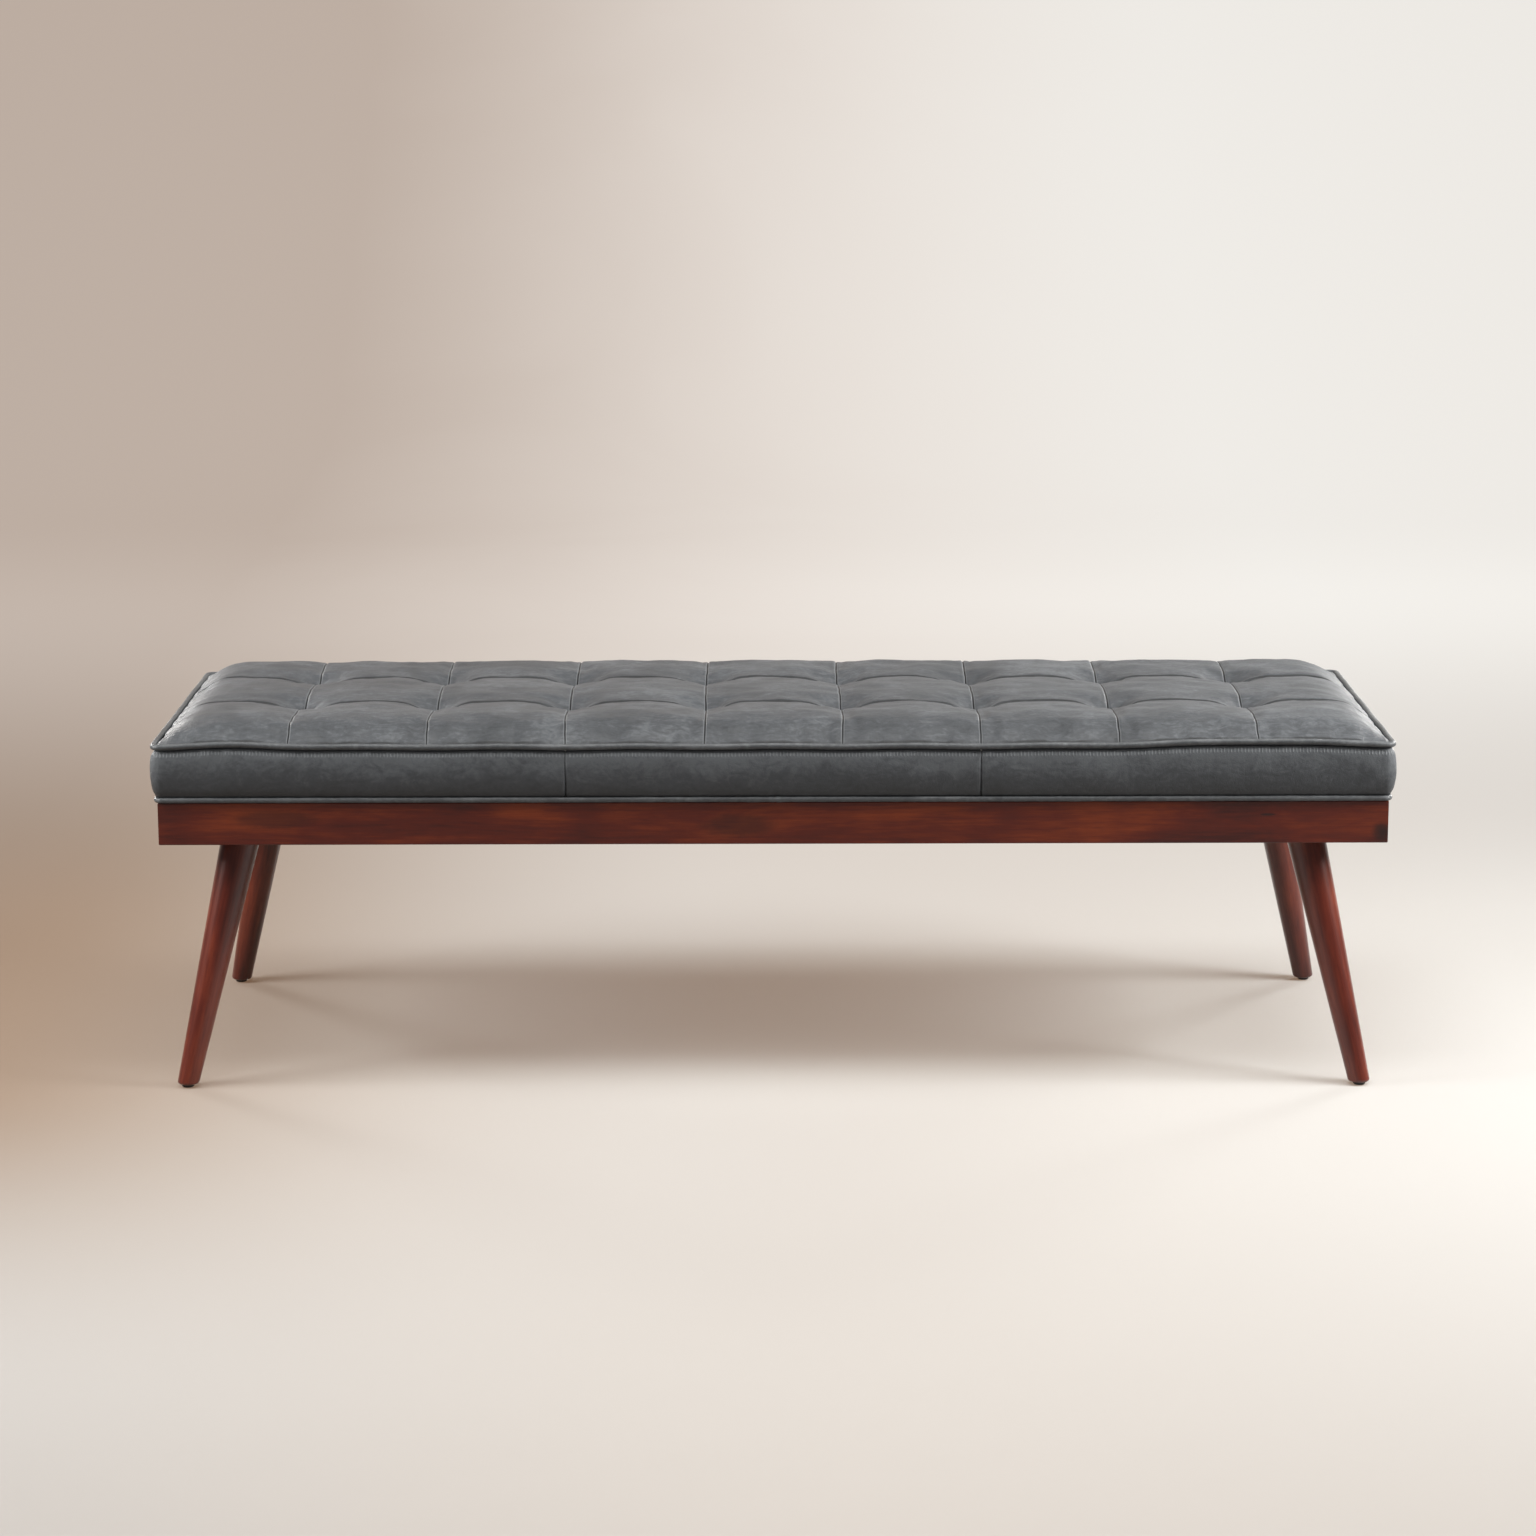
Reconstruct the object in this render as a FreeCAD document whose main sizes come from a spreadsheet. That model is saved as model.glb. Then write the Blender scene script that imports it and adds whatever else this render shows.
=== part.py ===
import FreeCAD, Part
import math
import os
import Sketcher

# A long upholstered bench: a tufted leather cushion on a plywood deck, a mitred
# hardwood frame, and four turned legs that splay out in both directions.
# Millimetres, +Z up, +X to the right, -Y to the front. The origin lies on the
# floor under the middle of the bench.

Vector = FreeCAD.Vector

# Driving dimensions, each written once: name, value, what it measures.
SIZES = (
    ("cushion_length", 1524, "cushion over its boxing, end to end"),
    ("cushion_depth", 508, "cushion over its boxing, front to back"),
    ("cushion_corner_radius", 14, "upright corners of the cushion in plan"),
    ("frame_setback", 8, "frame face inside the cushion's widest line"),
    ("leg_height", 304, "floor to the underside of the frame"),
    ("rail_height", 53, "height of the frame rails"),
    ("rail_thickness", 22, "thickness of the frame rails"),
    ("rail_edge_radius", 1.6, "eased outer edges of the rails"),
    ("cross_rail_height", 45, "height of the three cross rails"),
    ("cross_rail_thickness", 22, "thickness of the three cross rails"),
    ("cross_rail_gap", 0.1, "glue line at each end of a cross rail"),
    ("dowel_diameter", 8, "dowels that carry the cross rails"),
    ("dowel_reach", 14, "how far a dowel goes into each piece"),
    ("dowel_spacing", 24, "height between the two dowels of a joint"),
    ("fit_clearance", 0.1, "radial room round dowels, bolts and screws"),
    ("corner_block_thickness", 32, "height of the blocks that take the legs"),
    ("corner_block_length", 98, "corner block along the bench"),
    ("corner_block_width", 94, "corner block across the bench"),
    ("corner_block_clip", 22, "clipped inner corner of the block"),
    ("leg_inset_length", 94, "leg centre to the frame's end face at its top"),
    ("leg_inset_depth", 56, "leg centre to the frame's front face at its top"),
    ("leg_splay", 12.4, "splay seen from the front and from the end, degrees"),
    ("leg_top_diameter", 48, "leg at the underside of the frame"),
    ("leg_foot_diameter", 26, "leg at the floor"),
    ("leg_foot_rounding", 3.2, "rounded lower edge of the leg"),
    ("leg_bolt_diameter", 8, "hanger bolt"),
    ("leg_bolt_in_leg", 42, "hanger bolt's reach into the leg"),
    ("leg_bolt_in_block", 26, "hanger bolt's reach into the corner block"),
    ("insert_diameter", 12, "threaded insert in the corner block"),
    ("insert_length", 22, "length of the threaded insert"),
    ("glide_diameter", 15, "glide under each leg"),
    ("glide_height", 4, "glide between leg and floor"),
    ("glide_rounding", 1.2, "rounded lower edge of the glide"),
    ("nail_diameter", 2.4, "nail that holds the glide"),
    ("nail_length", 18, "nail under its head"),
    ("nail_head_diameter", 6, "head of the glide nail"),
    ("nail_head_height", 1, "thickness of the nail's head"),
    ("screw_diameter", 4.4, "wood screws"),
    ("screw_head_diameter", 8.6, "head of the wood screws"),
    ("screw_head_height", 3, "thickness of the screw's head"),
    ("screw_grip", 30, "wood under the head of a corner block screw"),
    ("screw_bite", 14, "corner block screw in the rail"),
    ("corner_screw_inset", 17, "corner block screws from the block's sides"),
    ("corner_screw_spacing", 28, "distance between the two screws side by side"),
    ("corner_screw_stagger", 13, "height between the crossing screws of a block"),
    ("deck_screw_grip", 25, "wood under the head of a deck screw"),
    ("deck_screw_bite", 9, "deck screw in the deck"),
    ("deck_screw_span", 300, "distance between the two screws of a cross rail"),
    ("deck_thickness", 12, "plywood seat deck"),
    ("deck_setback", 2.6, "deck edge inside the frame's face"),
    ("hem_thickness", 1.2, "leather hem folded under the deck"),
    ("hem_width", 24, "how far the hem reaches under the deck"),
    ("bottom_piping_diameter", 6.4, "piping between boxing and frame"),
    ("bottom_piping_overhang", 4.6, "bottom piping beyond the frame's face"),
    ("top_piping_diameter", 6.8, "piping between boxing and top"),
    ("piping_clearance", 0.3, "room between the piping and what it sits on"),
    ("top_piping_tuck", 0.6, "top piping inside the cushion's widest line"),
    ("top_piping_sink", 0.4, "top piping below the underside of the puffs"),
    ("leather_thickness", 1.5, "boxing leather with its backing"),
    ("boxing_draw_bottom", 4.2, "boxing drawn in at its lower edge"),
    ("boxing_draw_top", 2.4, "boxing drawn in at its upper edge"),
    ("boxing_joint", 0.2, "sewn joint between two boxing pieces"),
    ("soft_gap", 0.3, "room between layers of the cushion"),
    ("wadding_side", 4, "wadding down the sides of the foam"),
    ("wadding_top", 11.5, "wadding over the foam"),
    ("foam_height", 42, "foam block"),
    ("foam_edge_radius", 10, "rounded upper edges of the foam"),
    ("tuft_columns", 9, "puffs along the bench"),
    ("tuft_rows", 3, "puffs across the bench"),
    ("tuft_rise", 12.5, "tufts above the centre of the top piping"),
    ("seam_rise", 11.5, "middle of a seam above the tufts"),
    ("crest_rise", 6, "crest of a puff above the middle of its seams"),
    ("shoulder_width", 84, "how far the puffs roll down to the top piping"),
    ("tie_diameter", 1.6, "tufting twine"),
    ("tie_hole_diameter", 7, "holes for the twine through foam and deck"),
    ("tie_button_diameter", 16, "button that holds the twine under the deck"),
    ("tie_button_height", 3, "thickness of that button"),
    ("dust_cover_thickness", 0.5, "cloth under the frame"),
    ("dust_cover_setback", 9, "dust cover inside the frame's face"),
    ("dust_cover_leg_room", 1, "room between the dust cover and a leg"),
)

# Corners of the bench: name, side along X, side along Y.
CORNERS = (
    ("front_left", -1, -1),
    ("front_right", 1, -1),
    ("rear_left", -1, 1),
    ("rear_right", 1, 1),
)

doc = FreeCAD.newDocument("UpholsteredBench")
sheet = doc.addObject("Spreadsheet::Sheet", "Sizes")
for row, (alias, value, meaning) in enumerate(SIZES, start=1):
    sheet.set(f"A{row}", meaning)
    sheet.set(f"B{row}", str(value))
    sheet.setAlias(f"B{row}", alias)
doc.recompute()

nodes = []


def size(alias):
    """A driving dimension as a number."""
    return float(sheet.get(alias))


# Places that several pieces share, as expressions on the sheet.
FRAME_LENGTH = "(Sizes.cushion_length - 2 * Sizes.frame_setback)"
FRAME_DEPTH = "(Sizes.cushion_depth - 2 * Sizes.frame_setback)"
FRAME_TOP = "(Sizes.leg_height + Sizes.rail_height)"
INNER_LENGTH = f"({FRAME_LENGTH} - 2 * Sizes.rail_thickness)"
INNER_DEPTH = f"({FRAME_DEPTH} - 2 * Sizes.rail_thickness)"
CROSS_LENGTH = f"({INNER_DEPTH} - 2 * Sizes.cross_rail_gap)"
CROSS_RAIL_DROP = "(Sizes.rail_height - Sizes.cross_rail_height)"
LEG_X = f"({FRAME_LENGTH} / 2 - Sizes.leg_inset_length)"
LEG_Y = f"({FRAME_DEPTH} / 2 - Sizes.leg_inset_depth)"
LEG_TILT = "atan(sqrt(2) * tan(Sizes.leg_splay * 1 deg))"
FOOT_SHIFT = "((Sizes.leg_height - Sizes.glide_height) * tan(Sizes.leg_splay * 1 deg))"
DECK_BOTTOM = f"({FRAME_TOP} + Sizes.hem_thickness)"
DECK_TOP = f"({DECK_BOTTOM} + Sizes.deck_thickness)"
DECK_LENGTH = f"({FRAME_LENGTH} - 2 * Sizes.deck_setback)"
DECK_DEPTH = f"({FRAME_DEPTH} - 2 * Sizes.deck_setback)"
FOAM_TOP = f"({DECK_TOP} + Sizes.foam_height)"
WADDING_TOP = f"({FOAM_TOP} + Sizes.wadding_top)"
# Inner face of the boxing where it is drawn in most.
BOXING_INSIDE = "(Sizes.boxing_draw_bottom + Sizes.leather_thickness)"
WADDING_INSET = f"({BOXING_INSIDE} + Sizes.soft_gap)"
FOAM_INSET = f"({WADDING_INSET} + Sizes.wadding_side)"
PUFF_LENGTH = "(Sizes.cushion_length / Sizes.tuft_columns)"
PUFF_DEPTH = "(Sizes.cushion_depth / Sizes.tuft_rows)"
BOTTOM_PIPING_Z = (
    f"({FRAME_TOP} + Sizes.bottom_piping_diameter / 2 + Sizes.piping_clearance)"
)
BOTTOM_PIPING_OUT = (
    "(Sizes.bottom_piping_overhang - Sizes.frame_setback"
    " - Sizes.bottom_piping_diameter / 2)"
)
TOP_PIPING_OUT = "(-Sizes.top_piping_tuck - Sizes.top_piping_diameter / 2)"
PUFF_BASE = f"({WADDING_TOP} + Sizes.soft_gap)"
TOP_PIPING_Z = f"({PUFF_BASE} - Sizes.top_piping_sink + Sizes.top_piping_diameter / 2)"
TUFT_Z = f"({TOP_PIPING_Z} + Sizes.tuft_rise)"
CREST_Z = f"({TUFT_Z} + Sizes.seam_rise + Sizes.crest_rise)"


def number(expression):
    """An expression on the sheet as a number."""
    result = sheet.evalExpression(expression)
    return float(getattr(result, "Value", result))


def origin_plane(body, role):
    """One of a body's own origin planes."""
    return next(plane for plane in body.Origin.OriginFeatures if plane.Role == role)


def new_body(name):
    return doc.addObject("PartDesign::Body", name)


def new_sketch(body, role, name, offset="0"):
    """Sketch on an origin plane, moved along the plane's normal by an expression."""
    sketch = body.newObject("Sketcher::SketchObject", name)
    sketch.AttachmentSupport = (origin_plane(body, role), [""])
    sketch.MapMode = "FlatFace"
    sketch.AttachmentOffset = FreeCAD.Placement(
        Vector(0, 0, number(offset)), FreeCAD.Rotation()
    )
    if offset != "0":
        sketch.setExpression("AttachmentOffset.Base.z", offset)
    return sketch


def pin_point(sketch, geometry, point, spot):
    """Tie one point of a sketch to a pair of expressions."""
    for kind, expression in zip(("DistanceX", "DistanceY"), spot):
        value = number(expression)
        tie = sketch.addConstraint(
            Sketcher.Constraint(kind, -1, 1, geometry, point, value)
        )
        sketch.setExpression(f"Constraints[{tie}]", expression)


def polygon(sketch, corners):
    """Closed outline through corners that are pairs of expressions."""
    spots = [Vector(number(x), number(y), 0) for x, y in corners]
    count = len(corners)
    edges = [
        sketch.addGeometry(Part.LineSegment(spots[i], spots[(i + 1) % count]), False)
        for i in range(count)
    ]
    for i in range(count):
        following = edges[(i + 1) % count]
        sketch.addConstraint(
            Sketcher.Constraint("Coincident", edges[i], 2, following, 1)
        )
        pin_point(sketch, edges[i], 1, corners[i])


def rectangle(sketch, half_x, half_y):
    polygon(
        sketch,
        (
            (f"-({half_x})", f"-({half_y})"),
            (half_x, f"-({half_y})"),
            (half_x, half_y),
            (f"-({half_x})", half_y),
        ),
    )


def circles(sketch, centres, radius):
    """Circles of one radius at centres that are pairs of expressions."""
    for centre in centres:
        spot = Vector(number(centre[0]), number(centre[1]), 0)
        ring = sketch.addGeometry(
            Part.Circle(spot, Vector(0, 0, 1), number(radius)), False
        )
        tie = sketch.addConstraint(
            Sketcher.Constraint("Radius", ring, number(radius))
        )
        sketch.setExpression(f"Constraints[{tie}]", radius)
        pin_point(sketch, ring, 3, centre)


def rounded_rectangle(sketch, half_x, half_y, radius):
    """Closed outline with four equal quarter-round corners."""
    hx, hy, r = number(half_x), number(half_y), number(radius)
    inner_x = f"(({half_x}) - ({radius}))"
    inner_y = f"(({half_y}) - ({radius}))"
    arcs = []
    for sign_x, sign_y, start in ((1, -1, 270), (1, 1, 0), (-1, 1, 90), (-1, -1, 180)):
        centre = Vector(sign_x * (hx - r), sign_y * (hy - r), 0)
        arc = Part.ArcOfCircle(
            Part.Circle(centre, Vector(0, 0, 1), r),
            math.radians(start),
            math.radians(start + 90),
        )
        index = sketch.addGeometry(arc, False)
        pin_point(
            sketch, index, 3, (f"{sign_x} * {inner_x}", f"{sign_y} * {inner_y}")
        )
        arcs.append(index)
    for i, index in enumerate(arcs):
        following = arcs[(i + 1) % 4]
        line = sketch.addGeometry(
            Part.LineSegment(
                sketch.getPoint(index, 2), sketch.getPoint(following, 1)
            ),
            False,
        )
        sketch.addConstraint(Sketcher.Constraint("Tangent", index, 2, line, 1))
        sketch.addConstraint(Sketcher.Constraint("Tangent", line, 2, following, 1))
    tie = sketch.addConstraint(Sketcher.Constraint("Radius", arcs[0], r))
    sketch.setExpression(f"Constraints[{tie}]", radius)
    for index in arcs[1:]:
        sketch.addConstraint(Sketcher.Constraint("Equal", arcs[0], index))


def pad(body, sketch, length, name, midplane=False):
    feature = body.newObject("PartDesign::Pad", name)
    feature.Profile = sketch
    feature.Midplane = midplane
    feature.Length = number(length)
    feature.setExpression("Length", length)
    sketch.Visibility = False
    return feature


def pocket(body, sketch, length, name, reverse=False):
    """Pocket of a given depth; it must take wood away."""
    doc.recompute()
    before = body.Shape.Volume
    feature = body.newObject("PartDesign::Pocket", name)
    feature.Profile = sketch
    feature.Length = number(length)
    feature.setExpression("Length", length)
    feature.Reversed = reverse
    doc.recompute()
    if not body.Shape.Volume < before:
        raise ValueError(f"{name} takes nothing away")
    return feature


def place(target, x="0", y="0", z="0", turn=0):
    """Put an object at a place given by expressions, turned about Z in degrees."""
    target.Placement = FreeCAD.Placement(
        Vector(number(x), number(y), number(z)),
        FreeCAD.Rotation(Vector(0, 0, 1), turn),
    )
    for axis, expression in (("x", x), ("y", y), ("z", z)):
        if expression != "0":
            target.setExpression(f"Placement.Base.{axis}", expression)


def splay(target, side_x, side_y, x, y, z):
    """Lean an upright object so that its lower end points out at a corner."""
    place(target, x, y, z)
    tilt_axis = Vector(side_y, -side_x, 0)
    target.Placement.Rotation = FreeCAD.Rotation(tilt_axis, number(LEG_TILT))
    target.setExpression("Placement.Rotation.Angle", LEG_TILT)


def aim(target, spot, direction):
    """Place an object with its local Z along a level direction."""
    place(target, spot[0], spot[1], spot[2])
    target.Placement.Rotation = FreeCAD.Rotation(Vector(0, 0, 1), direction)


def cylinder(name, radius, height):
    solid = doc.addObject("Part::Cylinder", name)
    solid.Radius = number(radius)
    solid.Height = number(height)
    solid.setExpression("Radius", radius)
    solid.setExpression("Height", height)
    return solid


def cut(name, base, tools):
    """Take several tools away from a piece."""
    tool = tools[0]
    if len(tools) > 1:
        tool = doc.addObject("Part::MultiFuse", f"{name}_tools")
        tool.Shapes = tools
    result = doc.addObject("Part::Cut", f"{name}_cut")
    result.Base = base
    result.Tool = tool
    return result


def add_node(label, piece):
    """Record a finished sub-part; its label names its file."""
    piece.Label = label
    nodes.append(piece)
    return piece


def add_group(label, pieces):
    """Record identical fasteners as one sub-part of separate solids."""
    group = doc.addObject("Part::Compound", f"{label}_group")
    group.Links = pieces
    return add_node(label, group)


# Frame rails, mitred at the corners. Each is drawn with its inner face on the
# local XZ plane and its outer face towards local -Y.


def round_edges(body, feature, name, keep, radius):
    """Ease the straight edges of a feature that a test picks out."""
    doc.recompute()
    picked = [
        f"Edge{i}"
        for i, edge in enumerate(feature.Shape.Edges, start=1)
        if keep(edge.BoundBox)
    ]
    fillet = body.newObject("PartDesign::Fillet", name)
    fillet.Base = (feature, picked)
    fillet.Radius = number(radius)
    fillet.setExpression("Radius", radius)
    return fillet


def make_rail(label, length, x, y, turn, bores, pilots):
    """One rail with the bores that its joints need on its inner face."""
    body = new_body(label)
    outline = new_sketch(body, "XY_Plane", f"{label}_outline")
    thickness = "Sizes.rail_thickness"
    polygon(
        outline,
        (
            (f"-{length} / 2", f"-{thickness}"),
            (f"{length} / 2", f"-{thickness}"),
            (f"{length} / 2 - {thickness}", "0"),
            (f"-({length} / 2 - {thickness})", "0"),
        ),
    )
    blank = pad(body, outline, "Sizes.rail_height", f"{label}_blank")
    outer_face = -size("rail_thickness")
    round_edges(
        body,
        blank,
        f"{label}_eased",
        lambda box: box.YMax < outer_face / 2 and box.XLength > box.ZLength,
        "Sizes.rail_edge_radius",
    )
    if bores:
        dowel_bores = new_sketch(body, "XZ_Plane", f"{label}_dowel_bores")
        circles(
            dowel_bores, bores, "Sizes.dowel_diameter / 2 + Sizes.fit_clearance"
        )
        pocket(body, dowel_bores, "Sizes.dowel_reach", f"{label}_bored", reverse=True)
    pilot_holes = new_sketch(body, "XZ_Plane", f"{label}_pilot_holes")
    circles(pilot_holes, pilots, "Sizes.screw_diameter / 2 + Sizes.fit_clearance")
    pocket(body, pilot_holes, "Sizes.screw_bite", f"{label}_drilled", reverse=True)
    place(body, x, y, "Sizes.leg_height", turn)
    return add_node(label, body)


DOWEL_HEIGHTS = tuple(
    f"({CROSS_RAIL_DROP} + Sizes.cross_rail_height / 2 {sign} Sizes.dowel_spacing / 2)"
    for sign in ("-", "+")
)
# Cross rails lie under the middle of a puff, clear of the tufts' buttons: the
# second one from each end and the middle one.
LAST_COLUMN = int(size("tuft_columns")) - 1
CROSS_PLACES = tuple(
    f"(({column} + 0.5 - Sizes.tuft_columns / 2) * {PUFF_LENGTH})"
    for column in (1, LAST_COLUMN // 2, LAST_COLUMN - 1)
)
BLOCK_INNER_X = f"({INNER_LENGTH} / 2 - Sizes.corner_block_length)"
OUTER_SCREW_X = f"({INNER_LENGTH} / 2 - Sizes.corner_screw_inset)"
LONG_SCREW_X = (OUTER_SCREW_X, f"({OUTER_SCREW_X} - Sizes.corner_screw_spacing)")
SHORT_SCREW_Y = (
    f"({INNER_DEPTH} / 2 - Sizes.corner_block_width + Sizes.corner_screw_inset)"
)
# Screws into the long rails run above the one into the end rail, which they cross.
LONG_SCREW_LEVEL, SHORT_SCREW_LEVEL = (
    f"(Sizes.corner_block_thickness / 2 {sign} Sizes.corner_screw_stagger / 2)"
    for sign in ("+", "-")
)

long_rail_bores = [(x, z) for x in CROSS_PLACES for z in DOWEL_HEIGHTS]
long_rail_pilots = [
    (f"{side} * {x}", LONG_SCREW_LEVEL) for side in (-1, 1) for x in LONG_SCREW_X
]
short_rail_pilots = [
    (f"{side} * {SHORT_SCREW_Y}", SHORT_SCREW_LEVEL) for side in (-1, 1)
]

make_rail(
    "front_rail", FRAME_LENGTH, "0", f"-{INNER_DEPTH} / 2", 0,
    long_rail_bores, long_rail_pilots,
)
make_rail(
    "rear_rail", FRAME_LENGTH, "0", f"{INNER_DEPTH} / 2", 180,
    long_rail_bores, long_rail_pilots,
)
make_rail(
    "left_end_rail", FRAME_DEPTH, f"-{INNER_LENGTH} / 2", "0", -90,
    [], short_rail_pilots,
)
make_rail(
    "right_end_rail", FRAME_DEPTH, f"{INNER_LENGTH} / 2", "0", 90,
    [], short_rail_pilots,
)

# Cross rails between the long rails, on dowels, with counterbored deck screws.

SCREW_HEAD_LEVEL = f"({FRAME_TOP} - Sizes.deck_screw_grip)"
COUNTERBORE_DEPTH = "(Sizes.cross_rail_height - Sizes.deck_screw_grip)"


def make_cross_rail(label, x):
    body = new_body(label)
    section = new_sketch(body, "XY_Plane", f"{label}_section")
    rectangle(section, "Sizes.cross_rail_thickness / 2", f"{CROSS_LENGTH} / 2")
    pad(body, section, "Sizes.cross_rail_height", f"{label}_blank")
    end_bores = new_sketch(
        body, "XZ_Plane", f"{label}_end_bores", f"{CROSS_LENGTH} / 2"
    )
    levels = [("0", f"{z} - {CROSS_RAIL_DROP}") for z in DOWEL_HEIGHTS]
    circles(end_bores, levels, "Sizes.dowel_diameter / 2 + Sizes.fit_clearance")
    front_bores = pocket(body, end_bores, "Sizes.dowel_reach", f"{label}_front_bores")
    rear_bores = body.newObject("PartDesign::Mirrored", f"{label}_rear_bores")
    rear_bores.Originals = [front_bores]
    rear_bores.MirrorPlane = (origin_plane(body, "XZ_Plane"), [""])
    body.Tip = rear_bores
    places = [("0", f"{sign} * Sizes.deck_screw_span / 2") for sign in (-1, 1)]
    counterbores = new_sketch(body, "XY_Plane", f"{label}_counterbores")
    circles(
        counterbores, places, "Sizes.screw_head_diameter / 2 + Sizes.fit_clearance"
    )
    pocket(body, counterbores, COUNTERBORE_DEPTH, f"{label}_sunk", reverse=True)
    shanks = new_sketch(body, "XY_Plane", f"{label}_shank_holes")
    circles(shanks, places, "Sizes.screw_diameter / 2 + Sizes.fit_clearance")
    pocket(body, shanks, "Sizes.cross_rail_height", f"{label}_drilled", reverse=True)
    place(body, x, "0", f"Sizes.leg_height + {CROSS_RAIL_DROP}")
    return add_node(label, body)


for label, x in zip(
    ("left_cross_rail", "middle_cross_rail", "right_cross_rail"), CROSS_PLACES
):
    make_cross_rail(label, x)


DOWEL_LENGTH = (
    "(2 * Sizes.dowel_reach + Sizes.cross_rail_gap - 4 * Sizes.fit_clearance)"
)


def make_dowels():
    dowels = []
    for x in CROSS_PLACES:
        for side in (-1, 1):
            for level in DOWEL_HEIGHTS:
                dowel = cylinder("dowel", "Sizes.dowel_diameter / 2", DOWEL_LENGTH)
                joint = f"{side} * ({INNER_DEPTH} / 2 - Sizes.cross_rail_gap / 2)"
                height = f"Sizes.leg_height + {level}"
                start = f"{joint} + {DOWEL_LENGTH} / 2"
                aim(dowel, (x, start, height), Vector(0, -1, 0))
                dowels.append(dowel)
    return add_group("cross_rail_dowels", dowels)


make_dowels()

# Legs: turned, tapered, leaning out, cut level under the frame and at the foot.

LEG_SLANT = "(Sizes.leg_height / cos(atan(sqrt(2) * tan(Sizes.leg_splay * 1 deg))))"
LEG_TAPER = (
    f"((Sizes.leg_top_diameter - Sizes.leg_foot_diameter) / 2 / {LEG_SLANT})"
)
TURNING_SPARE = "Sizes.leg_top_diameter"


def make_turned_blank(name):
    """Tapered turning with a blind bore for its bolt, a little longer than the leg.

    The leg's top centre is the local origin and the foot points to local -Z.
    """
    body = new_body(name)
    profile = new_sketch(body, "XZ_Plane", f"{name}_profile")
    bore = "Sizes.leg_bolt_diameter / 2 + Sizes.fit_clearance"
    top_radius = f"Sizes.leg_top_diameter / 2 + {LEG_TAPER} * {TURNING_SPARE}"
    foot_radius = f"Sizes.leg_foot_diameter / 2 - {LEG_TAPER} * {TURNING_SPARE}"
    foot_level = f"-({LEG_SLANT} + {TURNING_SPARE})"
    bore_end = "-(Sizes.leg_bolt_in_leg + Sizes.fit_clearance)"
    polygon(
        profile,
        (
            (bore, TURNING_SPARE),
            (bore, bore_end),
            ("0", bore_end),
            ("0", foot_level),
            (foot_radius, foot_level),
            (top_radius, TURNING_SPARE),
        ),
    )
    turning = body.newObject("PartDesign::Revolution", f"{name}_turning")
    turning.Profile = profile
    turning.ReferenceAxis = (profile, ["V_Axis"])
    turning.Angle = 360
    return body


def make_leg(corner, side_x, side_y):
    label = f"leg_{corner}"
    leg_x = f"{side_x} * {LEG_X}"
    leg_y = f"{side_y} * {LEG_Y}"
    blank = make_turned_blank(f"{label}_blank")
    splay(blank, side_x, side_y, leg_x, leg_y, "Sizes.leg_height")
    level_cuts = doc.addObject("Part::Box", f"{label}_level_cuts")
    width = f"4 * ({FOOT_SHIFT} + Sizes.leg_top_diameter)"
    for side in ("Length", "Width"):
        level_cuts.setExpression(side, width)
    level_cuts.setExpression("Height", "Sizes.leg_height - Sizes.glide_height")
    place(
        level_cuts,
        f"{leg_x} - {width} / 2",
        f"{leg_y} - {width} / 2",
        "Sizes.glide_height",
    )
    trimmed = doc.addObject("Part::Common", f"{label}_trimmed")
    trimmed.Base = blank
    trimmed.Tool = level_cuts
    nail_hole = cylinder(
        f"{label}_nail_hole",
        "Sizes.nail_diameter / 2 + Sizes.fit_clearance",
        "Sizes.nail_length",
    )
    place(
        nail_hole,
        f"{side_x} * ({LEG_X} + {FOOT_SHIFT})",
        f"{side_y} * ({LEG_Y} + {FOOT_SHIFT})",
        "Sizes.nail_head_height",
    )
    drilled = cut(label, trimmed, [nail_hole])
    doc.recompute()
    foot = size("glide_height")
    rim = max(
        (
            (edge.Length, index)
            for index, edge in enumerate(drilled.Shape.Edges, start=1)
            if edge.BoundBox.ZMax < foot + size("leg_foot_rounding")
        )
    )[1]
    rounding = size("leg_foot_rounding")
    rounded = doc.addObject("Part::Fillet", f"{label}_rounded")
    rounded.Base = drilled
    rounded.Edges = [(rim, rounding, rounding)]
    return add_node(label, rounded)


for corner, side_x, side_y in CORNERS:
    make_leg(corner, side_x, side_y)

# Hanger bolts along the legs' axes, and the threaded inserts that take them.


def make_hanger_bolts():
    bolts = []
    for corner, side_x, side_y in CORNERS:
        body = new_body(f"hanger_bolt_{corner}")
        profile = new_sketch(body, "XZ_Plane", f"hanger_bolt_{corner}_profile")
        radius = "Sizes.leg_bolt_diameter / 2"
        # Wood-screw end tapers to a point, machine end is chamfered.
        polygon(
            profile,
            (
                ("0", "-Sizes.leg_bolt_in_leg"),
                (radius, "-(Sizes.leg_bolt_in_leg - Sizes.leg_bolt_diameter)"),
                (radius, "Sizes.leg_bolt_in_block - Sizes.leg_bolt_diameter / 8"),
                (f"{radius} * 0.75", "Sizes.leg_bolt_in_block"),
                ("0", "Sizes.leg_bolt_in_block"),
            ),
        )
        turning = body.newObject("PartDesign::Revolution", f"hanger_bolt_{corner}_turning")
        turning.Profile = profile
        turning.ReferenceAxis = (profile, ["V_Axis"])
        turning.Angle = 360
        splay(
            body, side_x, side_y,
            f"{side_x} * {LEG_X}", f"{side_y} * {LEG_Y}", "Sizes.leg_height",
        )
        bolts.append(body)
    return add_group("hanger_bolts", bolts)


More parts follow.
